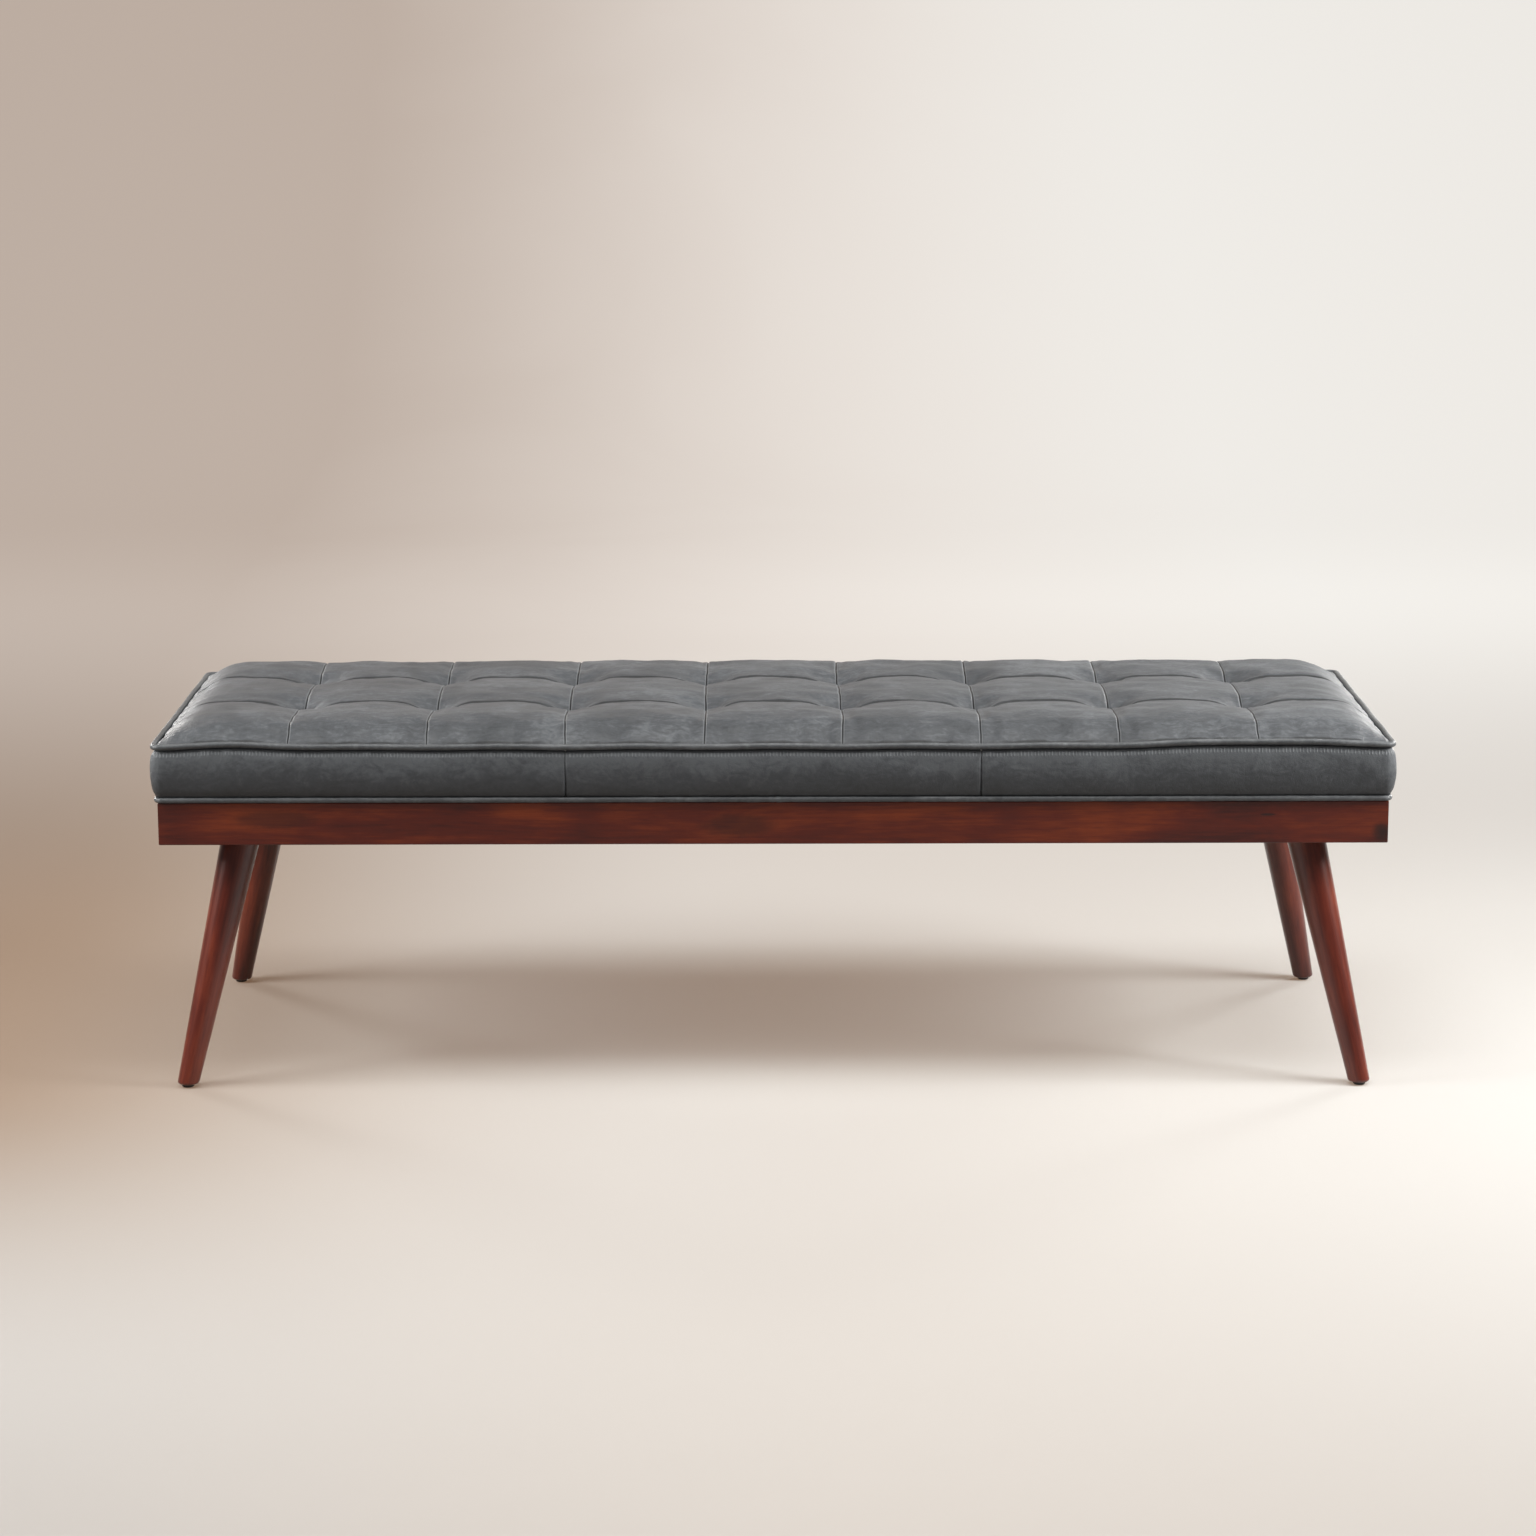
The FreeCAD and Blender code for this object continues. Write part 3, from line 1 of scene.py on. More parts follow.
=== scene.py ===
import logging
import math
from collections.abc import Callable
from dataclasses import dataclass
from enum import Enum

import bmesh
import bpy
import numpy as np
from mathutils import Matrix, Vector


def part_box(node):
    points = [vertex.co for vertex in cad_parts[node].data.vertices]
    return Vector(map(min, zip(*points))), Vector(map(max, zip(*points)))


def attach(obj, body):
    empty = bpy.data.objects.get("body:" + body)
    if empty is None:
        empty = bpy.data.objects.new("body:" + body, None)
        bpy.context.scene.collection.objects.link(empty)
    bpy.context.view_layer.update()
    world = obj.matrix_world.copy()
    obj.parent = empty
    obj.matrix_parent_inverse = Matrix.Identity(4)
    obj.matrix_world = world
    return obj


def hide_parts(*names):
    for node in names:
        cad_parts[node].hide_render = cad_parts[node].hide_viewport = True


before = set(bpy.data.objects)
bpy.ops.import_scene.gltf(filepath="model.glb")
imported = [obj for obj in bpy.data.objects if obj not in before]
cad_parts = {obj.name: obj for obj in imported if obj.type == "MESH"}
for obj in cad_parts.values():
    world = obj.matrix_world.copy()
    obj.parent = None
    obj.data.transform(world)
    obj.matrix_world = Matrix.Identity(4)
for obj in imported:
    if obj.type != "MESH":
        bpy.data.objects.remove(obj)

# Looks of the upholstered bench: tufted leather, piping, stained wood, dust cover.
# Metres, +Z up, -Y to the front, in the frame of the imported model.

LOG = logging.getLogger("bench")
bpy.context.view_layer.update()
BODY = "root"
MERGE = 1e-5
TURN = 2 * math.pi
CORNERS = {
    "front_left": (-1, -1), "front_right": (1, -1),
    "rear_left": (-1, 1), "rear_right": (1, 1),
}
Color = tuple[float, float, float, float]
Triple = tuple[float, float, float]
Span = tuple[float, float]


def shade(red: int, green: int, blue: int) -> Color:
    """Turn a screen colour into the linear colour that a shader takes.

    Args:
        red: Red from 0 to 255.
        green: Green from 0 to 255.
        blue: Blue from 0 to 255.

    Returns:
        Linear red, green, blue and an alpha of 1.
    """
    linear = []
    for channel in (red, green, blue):
        share = channel / 255
        low = share / 12.92
        high = ((share + 0.055) / 1.055) ** 2.4
        linear.append(low if share <= 0.04045 else high)
    return (*linear, 1.0)


# Shader building blocks.


def arithmetic(operation: str, swapped: bool = False) -> Callable:
    """Make a method that joins a value with another in a Math node.

    Args:
        operation: Operation of the Math node.
        swapped: Whether the other value comes first.

    Returns:
        The method.
    """

    def method(self: "Value", other: "Value | float") -> "Value":
        """Join this value with another value or number."""
        terms = (other, self) if swapped else (self, other)
        return self.recipe.math(operation, *terms)

    return method


class Value:
    """A socket in a material's nodes, with Python's arithmetic."""

    __add__ = arithmetic("ADD")
    __sub__ = arithmetic("SUBTRACT")
    __rsub__ = arithmetic("SUBTRACT", swapped=True)
    __mul__ = arithmetic("MULTIPLY")
    __truediv__ = arithmetic("DIVIDE")

    def __init__(self, recipe: "Recipe", socket: bpy.types.NodeSocket) -> None:
        """Keep the socket and the recipe that it belongs to."""
        self.recipe = recipe
        self.socket = socket

    def __abs__(self) -> "Value":
        """Size without its sign."""
        return self.recipe.math("ABSOLUTE", self)

    def fraction(self) -> "Value":
        """Part after the decimal point."""
        return self.recipe.math("FRACT", self)

    def step(self, low: float, high: float) -> "Value":
        """Smooth step from 0 at low to 1 at high; low may be the larger one."""
        return self.recipe.output(
            "ShaderNodeMapRange",
            {"interpolation_type": "SMOOTHSTEP"},
            {"Value": self, "From Min": low, "From Max": high},
            "Result",
        )


class Recipe:
    """Builds the nodes of one material."""

    def __init__(self, name: str) -> None:
        """Start a material with an empty principled shader.

        Args:
            name: Name of the material.
        """
        self.material = bpy.data.materials.new(name)
        self.material.use_nodes = True
        self.tree = self.material.node_tree
        self.shader = self.tree.nodes["Principled BSDF"]

    def feed(self, socket: bpy.types.NodeSocket, value: object) -> None:
        """Link a value to a socket, or set the socket's own number or colour.

        Args:
            socket: Socket that takes the value.
            value: Value of this recipe, a number or a tuple.
        """
        if isinstance(value, Value):
            self.tree.links.new(value.socket, socket)
        else:
            socket.default_value = value

    def add(
        self, kind: str, settings: dict | None = None, inputs: dict | None = None
    ) -> bpy.types.Node:
        """Add a node.

        Args:
            kind: Node type.
            settings: Node properties, set before its sockets are used.
            inputs: Values or numbers by socket name or index.

        Returns:
            The new node.
        """
        node = self.tree.nodes.new(kind)
        for name, value in (settings or {}).items():
            if name == "stops":
                self.set_stops(node.color_ramp, value)
            else:
                setattr(node, name, value)
        for key, value in (inputs or {}).items():
            self.feed(node.inputs[key], value)
        return node

    @staticmethod
    def set_stops(ramp: bpy.types.ColorRamp, stops: tuple) -> None:
        """Give a colour ramp its stops.

        Args:
            ramp: Ramp with two stops.
            stops: Pairs of place and colour, in order.
        """
        while len(ramp.elements) < len(stops):
            ramp.elements.new(1.0)
        for element, (place, color) in zip(ramp.elements, stops):
            element.position = place
            element.color = color

    def output(self, kind: str, settings: dict, inputs: dict, name: str) -> Value:
        """Add a node and take one of its outputs.

        Args:
            kind: Node type.
            settings: Node properties.
            inputs: Values or numbers by socket name or index.
            name: Name of the output socket.

        Returns:
            That output.
        """
        return Value(self, self.add(kind, settings, inputs).outputs[name])

    def math(self, operation: str, *terms: "Value | float") -> Value:
        """Add a Math node on one or two terms."""
        inputs = dict(enumerate(terms))
        return self.output("ShaderNodeMath", {"operation": operation}, inputs, "Value")

    def place(self) -> Value:
        """Coordinates of the object, in metres."""
        return self.output("ShaderNodeTexCoord", {}, {}, "Object")

    def pattern(self) -> Value:
        """Coordinates of the sewn piece, in metres, from its UV map."""
        return self.output("ShaderNodeTexCoord", {}, {}, "UV")

    def axes(self, vector: Value) -> tuple[Value, Value, Value]:
        """Split a vector into its three numbers."""
        node = self.add("ShaderNodeSeparateXYZ", {}, {"Vector": vector})
        return tuple(Value(self, node.outputs[axis]) for axis in ("X", "Y", "Z"))

    def mapped(
        self,
        vector: Value,
        scale: Triple,
        rotation: Triple = (0, 0, 0),
        location: Triple = (0, 0, 0),
    ) -> Value:
        """Turn, stretch and shift coordinates.

        Args:
            vector: Coordinates.
            scale: Stretch along each axis.
            rotation: Turn about each axis, in radians.
            location: Shift along each axis.

        Returns:
            The changed coordinates.
        """
        inputs = {
            "Vector": vector,
            "Location": location,
            "Rotation": rotation,
            "Scale": scale,
        }
        return self.output("ShaderNodeMapping", {}, inputs, "Vector")

    def noise(
        self,
        vector: Value,
        scale: float,
        detail: float = 4,
        roughness: float = 0.55,
        distortion: float = 0,
    ) -> Value:
        """Smooth noise from 0 to 1.

        Args:
            vector: Coordinates.
            scale: Patches in a metre.
            detail: Number of finer layers.
            roughness: Strength of the finer layers.
            distortion: How far the pattern is warped.

        Returns:
            The noise.
        """
        inputs = {
            "Vector": vector,
            "Scale": scale,
            "Detail": detail,
            "Roughness": roughness,
            "Distortion": distortion,
        }
        return self.output("ShaderNodeTexNoise", {}, inputs, "Fac")

    def cells(self, vector: Value, scale: float, feature: str = "F1") -> Value:
        """Distance in a pattern of cells, as in leather grain.

        Args:
            vector: Coordinates.
            scale: Cells in a metre.
            feature: Cell centre or cell edge.

        Returns:
            The distance.
        """
        return self.output(
            "ShaderNodeTexVoronoi",
            {"feature": feature},
            {"Vector": vector, "Scale": scale},
            "Distance",
        )

    def ramp(self, value: Value, stops: tuple, soft: bool = False) -> Value:
        """Colour that follows a value through stops.

        Args:
            value: The value, from 0 to 1.
            stops: Pairs of place and colour, in order.
            soft: Whether the colour passes its stops without a kink.

        Returns:
            The colour.
        """
        node = self.add("ShaderNodeValToRGB", {"stops": stops}, {"Fac": value})
        if soft:
            node.color_ramp.interpolation = "B_SPLINE"
        return Value(self, node.outputs["Color"])

    def blend(self, share: "Value | float", first: object, second: object) -> Value:
        """Mix two colours.

        Args:
            share: Share of the second colour.
            first: First colour.
            second: Second colour.

        Returns:
            The mixed colour.
        """
        node = self.add("ShaderNodeMix", {"data_type": "RGBA"})
        factor, color_a, color_b = (node.inputs[index] for index in (0, 6, 7))
        self.feed(factor, share)
        self.feed(color_a, first)
        self.feed(color_b, second)
        return Value(self, node.outputs[2])

    def bump(
        self, height: Value, depth: float, strength: float, under: Value | None = None
    ) -> Value:
        """Relief for a shader's normal.

        Args:
            height: Height from 0 to 1.
            depth: Real depth of the relief in metres.
            strength: Share of the relief that is used.
            under: Relief that this one lies on.

        Returns:
            The normal.
        """
        inputs = {"Height": height, "Distance": depth, "Strength": strength}
        if under is not None:
            inputs["Normal"] = under
        return self.output("ShaderNodeBump", {}, inputs, "Normal")

    def finish(self, sockets: dict) -> bpy.types.Material:
        """Feed the principled shader.

        Args:
            sockets: Values, numbers or colours by socket name.

        Returns:
            The finished material.
        """
        for name, value in sockets.items():
            self.feed(self.shader.inputs[name], value)
        return self.material


# Finishes.


class Panel(Enum):
    """Where in the cushion a piece of leather is sewn."""

    TOP = "top"
    BAND = "band"
    PIPING = "piping"


@dataclass(frozen=True)
class LeatherFinish:
    """Waxed grey leather that turns lighter where it is rubbed, with painted light
    down the band and painted shade in the top's seams.
    """

    name: str
    panel: Panel
    dark: Color
    middle: Color
    light: Color
    roughness: float = 0.47
    specular: float = 0.34
    seam_pitch: Span = (1.0, 1.0)
    band_height: float = 0.06
    # Strength and middle of the painted light down the band: lighter at the top,
    # darker at the bottom.
    painted_light_slope: float = 0.34
    painted_light_level: float = 0.4
    worn: Color = shade(138, 142, 146)
    shadow: Color = shade(16, 17, 19)
    lip_outside: Span = (0.0025, 0.0016)
    lip_inside: Span = (0.0006, 0.0011)
    # Widths of the painted shade: in the grooves across the bench, and in the folds
    # behind the seams along it.
    groove: Span = (0.0014, 0.0005)
    fold_shade_front: Span = (-0.003, -0.001)
    fold_shade_back: Span = (0.007, 0.0038)
    fold_shade_ends: Span = (0.012, 0.05)
    stitch_length: float = 0.0042
    stitch_low: Span = (0.0095, 0.0075)
    stitch_high: Span = (0.0025, 0.0045)
    stitch_depth: float = 0.0006
    grain_cells: float = 620
    grain_depth: float = 0.00022
    crease_cells: float = 210
    crease_depth: float = 0.0002
    crumple_depth: float = 0.0016

    def tone(self, recipe: Recipe, place: Value) -> Value:
        """Cloudy pattern of the hide, from 0 to 1.

        Args:
            recipe: Recipe of the material.
            place: Coordinates.

        Returns:
            The pattern.
        """
        clouds = recipe.noise(place, 9, roughness=0.6, distortion=0.9)
        drawn_out = recipe.mapped(place, (1.0, 2.6, 1.6), (0, 0, 0.35))
        streaks = recipe.noise(
            drawn_out, 30, detail=7, roughness=0.7, distortion=1.8
        )
        specks = recipe.noise(place, 170, detail=3, roughness=0.6)
        return clouds * 0.34 + streaks * 0.46 + specks * 0.2

    def seams(self, recipe: Recipe) -> tuple[Value, Value]:
        """Worn lips of the seams between the puffs, and painted shade in their grooves
        and in the folds behind them.

        Args:
            recipe: Recipe of the material.

        Returns:
            Share of lip, and share of painted shade in the grooves and folds.
        """
        along, across, _ = recipe.axes(recipe.pattern())
        pitch_x, pitch_y = self.seam_pitch
        off_x = abs((along / pitch_x + 0.5).fraction() - 0.5) * pitch_x
        off_y = ((across / pitch_y + 0.5).fraction() - 0.5) * pitch_y
        lip = off_x.step(*self.lip_outside) * off_x.step(*self.lip_inside)
        # Painted shade: a dark band mostly behind each seam along the bench, strongest
        # between the tufts, and a dark line on each seam across the bench.
        painted_fold_shade = off_y.step(*self.fold_shade_front) * off_y.step(*self.fold_shade_back)
        along_seam_shade = painted_fold_shade * (off_x.step(*self.fold_shade_ends) * 0.65 + 0.25)
        across_seam_shade = off_x.step(*self.groove)
        return lip, recipe.math("MAXIMUM", along_seam_shade, across_seam_shade)

    def gathers(self, recipe: Recipe) -> Value:
        """Small needle pulls where the band meets the top piping."""
        along, up, _ = recipe.axes(recipe.pattern())
        depth = self.band_height - up
        near = depth.step(*self.stitch_low) * depth.step(*self.stitch_high)
        stitch = abs((along / self.stitch_length).fraction() - 0.5) * 2
        return near * stitch.step(0.5, 0.9)

    def build(self) -> bpy.types.Material:
        """Make the material.

        Returns:
            The leather.
        """
        recipe = Recipe(self.name)
        place = recipe.place()
        tone = self.tone(recipe, place)
        # Painted light: the band's tone rises towards its top and falls towards its
        # bottom, lighter where the overhead light falls and darker below.
        if self.panel is Panel.BAND:
            _, up, _ = recipe.axes(recipe.pattern())
            tone = tone + (up / self.band_height - self.painted_light_level) * self.painted_light_slope
        color = recipe.ramp(
            tone, ((0.36, self.dark), (0.5, self.middle), (0.64, self.light))
        )
        crumple = recipe.noise(place, 70, roughness=0.6, distortion=1.2)
        creases = recipe.cells(
            recipe.mapped(place, (1.0, 1.4, 1.2)), self.crease_cells,
            "DISTANCE_TO_EDGE",
        )
        grain = recipe.cells(place, self.grain_cells)
        normal = recipe.bump(crumple, self.crumple_depth, 0.42)
        normal = recipe.bump(
            creases.step(0.0, 0.09), self.crease_depth, 0.35, normal
        )
        normal = recipe.bump(grain, self.grain_depth, 0.4, normal)
        if self.panel is Panel.TOP:
            lip, groove = self.seams(recipe)
            color = recipe.blend(lip * 0.5, color, self.worn)
            # Painted shade: the seams' grooves and folds are darkened towards the
            # shadow colour.
            color = recipe.blend(groove * 0.88, color, self.shadow)
        elif self.panel is Panel.BAND:
            pulls = self.gathers(recipe)
            color = recipe.blend(pulls * 0.45, color, self.worn)
            normal = recipe.bump(pulls, self.stitch_depth, 0.8, normal)
        return recipe.finish(
            {
                "Base Color": color,
                "Roughness": tone * 0.16 + (self.roughness - 0.08),
                "Normal": normal,
                "Specular IOR Level": self.specular,
            }
        )


@dataclass(frozen=True)
class Mark:
    """A knot, streak or stain in a board, seen on its face."""

    spot: Triple
    reach: Triple
    depth: float
    rings: float = 0.0


@dataclass(frozen=True)
class WoodFinish:
    """Red-brown stain and satin lacquer over close-grained wood."""

    name: str
    turn: Triple = (0.0, 0.0, 0.0)
    marks: tuple[Mark, ...] = ()
    dark: Color = shade(66, 18, 12)
    middle: Color = shade(99, 33, 18)
    light: Color = shade(140, 60, 28)
    pore: Color = shade(40, 16, 14)
    knot: Color = shade(26, 8, 8)
    coat: float = 0.08
    coat_roughness: float = 0.22
    roughness: float = 0.45
    specular: float = 0.38
    grain_depth: float = 0.00025

    def mark(self, recipe: Recipe, place: Value, mark: Mark) -> Value:
        """Share of darkening of one mark.

        Args:
            recipe: Recipe of the material.
            place: Coordinates.
            mark: The mark.

        Returns:
            Its depth in the middle, fading to 0 at its reach.
        """
        scale = tuple(1 / reach for reach in mark.reach)
        shift = tuple(-spot / reach for spot, reach in zip(mark.spot, mark.reach))
        near = recipe.mapped(place, scale, location=shift)
        length = recipe.output(
            "ShaderNodeVectorMath", {"operation": "LENGTH"}, {0: near}, "Value"
        )
        away = length + recipe.noise(place, 90, detail=3, roughness=0.6) * 0.35
        body = away.step(1.1, 0.6)
        if mark.rings:
            body = body * (recipe.math("SINE", away * mark.rings) * 0.12 + 0.88)
        return body * mark.depth

    def build(self) -> bpy.types.Material:
        """Make the material.

        Returns:
            The stained wood.
        """
        recipe = Recipe(self.name)
        place = recipe.place()
        board = recipe.mapped(place, (1, 1, 1), self.turn)
        figure = recipe.noise(
            recipe.mapped(board, (1.6, 9, 9)), 3.4,
            detail=5, roughness=0.6, distortion=0.7,
        )
        clouds = recipe.noise(
            recipe.mapped(board, (1, 2, 2)), 6,
            detail=3, roughness=0.5, distortion=0.5,
        )
        fibre = recipe.noise(
            recipe.mapped(board, (14, 260, 260)), 1, detail=5, roughness=0.65
        )
        pores = recipe.noise(
            recipe.mapped(board, (40, 900, 900)), 1, detail=2, roughness=0.5
        )
        tone = figure * 0.42 + clouds * 0.33 + fibre * 0.25
        color = recipe.ramp(
            tone, ((0.38, self.dark), (0.5, self.middle), (0.63, self.light))
        )
        color = recipe.blend(pores.step(0.6, 0.75) * 0.35, color, self.pore)
        for mark in self.marks:
            color = recipe.blend(self.mark(recipe, place, mark), color, self.knot)
        grain = fibre * 0.6 + pores * 0.4
        return recipe.finish(
            {
                "Base Color": color,
                "Roughness": tone * 0.2 + (self.roughness - 0.1),
                "Normal": recipe.bump(grain, self.grain_depth, 0.25),
                "Specular IOR Level": self.specular,
                "Coat Weight": self.coat,
                "Coat Roughness": self.coat_roughness,
            }
        )


@dataclass(frozen=True)
class PlainFinish:
    """Finish of a fitting or filling: one colour that varies a little."""

    name: str
    color: Color
    second: Color
    roughness: float
    metallic: float = 0.0
    scale: float = 120.0
    relief: float = 0.0003
    stretch: Triple = (1.0, 1.0, 1.0)

    def build(self) -> bpy.types.Material:
        """Make the material.

        Returns:
            The finish.
        """
        recipe = Recipe(self.name)
        place = recipe.mapped(recipe.place(), self.stretch)
        tone = recipe.noise(place, self.scale, 4, 0.6)
        color = recipe.blend(tone.step(0.35, 0.65), self.color, self.second)
        return recipe.finish(
            {
                "Base Color": color,
                "Metallic": self.metallic,
                "Roughness": tone * 0.15 + self.roughness,
                "Normal": recipe.bump(tone, self.relief, 0.5),
            }
        )


@dataclass(frozen=True)
class ClothFinish:
    """Black pressed-fibre cloth of the dust cover."""

    name: str = "dust_cloth_finish"
    dark: Color = shade(24, 24, 26)
    light: Color = shade(44, 44, 46)
    roughness: float = 0.9
    dimple: float = 0.0022
    relief: float = 0.0003

    def build(self) -> bpy.types.Material:
        """Make the material.

        Returns:
            The cloth.
        """
        recipe = Recipe(self.name)
        place = recipe.place()
        fibres = recipe.noise(place, 700, detail=3, roughness=0.6)
        surface = recipe.cells(place, 1 / self.dimple) * 0.6 + fibres * 0.4
        return recipe.finish(
            {
                "Base Color": recipe.blend(
                    fibres.step(0.35, 0.65), self.dark, self.light
                ),
                "Roughness": self.roughness,
                "Normal": recipe.bump(surface, self.relief, 0.6),
            }
        )


# Mesh building blocks.


def ripple(
    spots: np.ndarray, wavelength: float, seed: int, waves: int = 9
) -> np.ndarray:
    """Smooth random field of about unit height.

    Args:
        spots: One row of coordinates for each point.
        wavelength: Typical length of its waves in metres.
        seed: Seed of the random numbers.
        waves: Number of waves that are added up.

    Returns:
        One number for each point.
    """
    chance = np.random.default_rng(seed)
    field = np.zeros(len(spots))
    for _ in range(waves):
        direction = chance.normal(size=spots.shape[1])
        direction /= np.linalg.norm(direction)
        pace = TURN / (wavelength * chance.uniform(0.6, 1.6))
        field += np.sin(spots @ direction * pace + chance.uniform(0, TURN))
    return field / math.sqrt(waves / 2)


def bell(distance: np.ndarray, width: float) -> np.ndarray:
    """Soft bump of height 1 that fades over a width."""
    return np.exp(-((distance / width) ** 2))


@dataclass
class Sheet:
    """A grid of points that a function lays out in space."""

    name: str
    columns: int
    rows: int

    def make(self) -> tuple[bpy.types.Mesh, np.ndarray, np.ndarray]:
        """Make the flat grid.

        Returns:
            The mesh, and for each of its points how far along and up it is, 0 to 1.
        """
        mesh = bpy.data.meshes.new(self.name)
        board = bmesh.new()
        bmesh.ops.create_grid(
            board, x_segments=self.columns, y_segments=self.rows, size=0.5
        )
        board.to_mesh(mesh)
        board.free()
        places = np.zeros(len(mesh.vertices) * 3, np.float32)
        mesh.vertices.foreach_get("co", places)
        flat = places.reshape(-1, 3).astype(float) + 0.5
        return mesh, flat[:, 0], flat[:, 1]


def lay_out(mesh: bpy.types.Mesh, places: np.ndarray, pattern: np.ndarray) -> None:
    """Move a grid's points and write its UV map.

    Args:
        mesh: The grid.
        places: Place of each point.
        pattern: Sewing pattern coordinates of each point, in metres.
    """
    mesh.vertices.foreach_set("co", places.astype(np.float32).ravel())
    corners = np.zeros(len(mesh.loops), np.int32)
    mesh.loops.foreach_get("vertex_index", corners)
    layer = mesh.uv_layers.new(name="UVMap")
    layer.data.foreach_set("uv", pattern[corners].astype(np.float32).ravel())
    mesh.update()


def closed_mesh(mesh: bpy.types.Mesh, floor: float | None = None) -> None:
    """Merge a mesh's doubles, close it and turn its faces outwards.

    Args:
        mesh: Mesh that is changed.
        floor: Height of a flat underside to add below its rim, or None.
    """
    body = bmesh.new()
    body.from_mesh(mesh)
    bmesh.ops.remove_doubles(body, verts=body.verts, dist=MERGE)
    if floor is not None:
        rim = [edge for edge in body.edges if edge.is_boundary]
        walls = bmesh.ops.extrude_edge_only(body, edges=rim)["geom"]
        lowered = [part for part in walls if isinstance(part, bmesh.types.BMVert)]
        for point in lowered:
            point.co.z = floor
        rim = [edge for edge in body.edges if edge.is_boundary]
        bmesh.ops.holes_fill(body, edges=rim, sides=0)
    bmesh.ops.recalc_face_normals(body, faces=body.faces)
    body.to_mesh(mesh)
    body.free()


def show(
    mesh: bpy.types.Mesh, material: bpy.types.Material, smooth: bool = True
) -> bpy.types.Object:
    """Put a mesh in the scene with one material.

    Args:
        mesh: The mesh, in place.
        material: Its material.
        smooth: Whether its faces are shaded smooth.

    Returns:
        The object.
    """
    mesh.materials.append(material)
    mesh.polygons.foreach_set("use_smooth", [smooth] * len(mesh.polygons))
    piece = bpy.data.objects.new(mesh.name, mesh)
    bpy.context.scene.collection.objects.link(piece)
    return piece


@dataclass(frozen=True)
class Outline:
    """Rounded rectangle seen from above, measured from the middle of its front.

    It runs counter-clockwise: front, right end, rear, left end.
    """

    half_length: float
    half_depth: float
    radius: float

    def legs(self) -> list[float]:
        """Distances at which the straights and corners end.

        Returns:
            Ends of front right, corner, right end, corner, rear, corner, left end,
            corner and front left.
        """
        corner = math.pi / 2 * self.radius
        long_side = self.half_length - self.radius
        short_side = self.half_depth - self.radius
        parts = [
            long_side, corner, 2 * short_side, corner, 2 * long_side,
            corner, 2 * short_side, corner, long_side,
        ]
        return list(np.cumsum(parts))

    def at(self, run: np.ndarray) -> tuple[np.ndarray, np.ndarray]:
        """Places and outward directions at distances along the outline.

        Args:
            run: Distances.

        Returns:
            Two arrays with x and y in each row.
        """
        ends = self.legs()
        run = np.mod(run, ends[-1])
        spots = np.zeros((len(run), 2))
        outward = np.zeros((len(run), 2))
        inner = np.array(
            [self.half_length - self.radius, self.half_depth - self.radius]
        )
        start = 0.0
        angle = -math.pi / 2
        here = np.array([0.0, -self.half_depth])
        for index, end in enumerate(ends):
            inside = (run >= start) & (run <= end)
            offset = (run[inside] - start)[:, None]
            if index % 2 == 0:
                ahead = np.array([-math.sin(angle), math.cos(angle)])
                spots[inside] = here + offset * ahead
                outward[inside] = (math.cos(angle), math.sin(angle))
                here = here + (end - start) * ahead
            else:
                signs = np.sign(here + 1e-9)
                turn = angle + offset[:, 0] / self.radius
                outward[inside] = np.stack((np.cos(turn), np.sin(turn)), axis=1)
                spots[inside] = signs * inner + self.radius * outward[inside]
                angle += math.pi / 2
                direction = np.array([math.cos(angle), math.sin(angle)])
                here = signs * inner + self.radius * direction
            start = end
        return spots, outward


@dataclass(frozen=True)
class Cushion:
    """Sizes that the cushion's pieces share."""

    half_length: float
    half_depth: float
    low: float
    high: float
    piping_height: float
    columns: int = 9
    rows: int = 3
    corner_radius: float = 0.014
    rim_wave: float = 0.0006
    rim_rises: tuple[Triple, ...] = ((0.0034, -0.86, 0.09), (0.0055, 0.78, 0.17))

    @classmethod
    def of_frame(cls) -> "Cushion":
        """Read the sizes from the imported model.

        Returns:
            The cushion's sizes.
        """
        side_low, side_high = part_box("right_end_boxing")
        front_low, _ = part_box("front_boxing_middle")
        piping_low, piping_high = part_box("top_piping")
        return cls(
            half_length=side_high.x,
            half_depth=-front_low.y,
            low=side_low.z,
            high=side_high.z,
            piping_height=(piping_low.z + piping_high.z) / 2,
        )

    @property
    def pitch(self) -> Span:
        """Length and depth of a puff."""
        return 2 * self.half_length / self.columns, 2 * self.half_depth / self.rows

    def lift(self, places: np.ndarray) -> np.ndarray:
        """How far the front of the sewn rim rises or sinks.

        It waves from puff to puff, and each of its rises has a height, a place
        from -1 to 1 along the front and a width.

        Args:
            places: Points near the rim, x and y in each row.

        Returns:
            Height to add at each point.
        """
        across = places[:, 0] / self.half_length
        depth = places[:, 1] / self.half_depth
        front = np.clip(-depth * 4 - 3, 0, 1)
        lift = self.rim_wave * np.cos(places[:, 0] / self.pitch[0] * TURN)
        for height, spot, width in self.rim_rises:
            lift += height * bell(across - spot, width)
        return front * lift


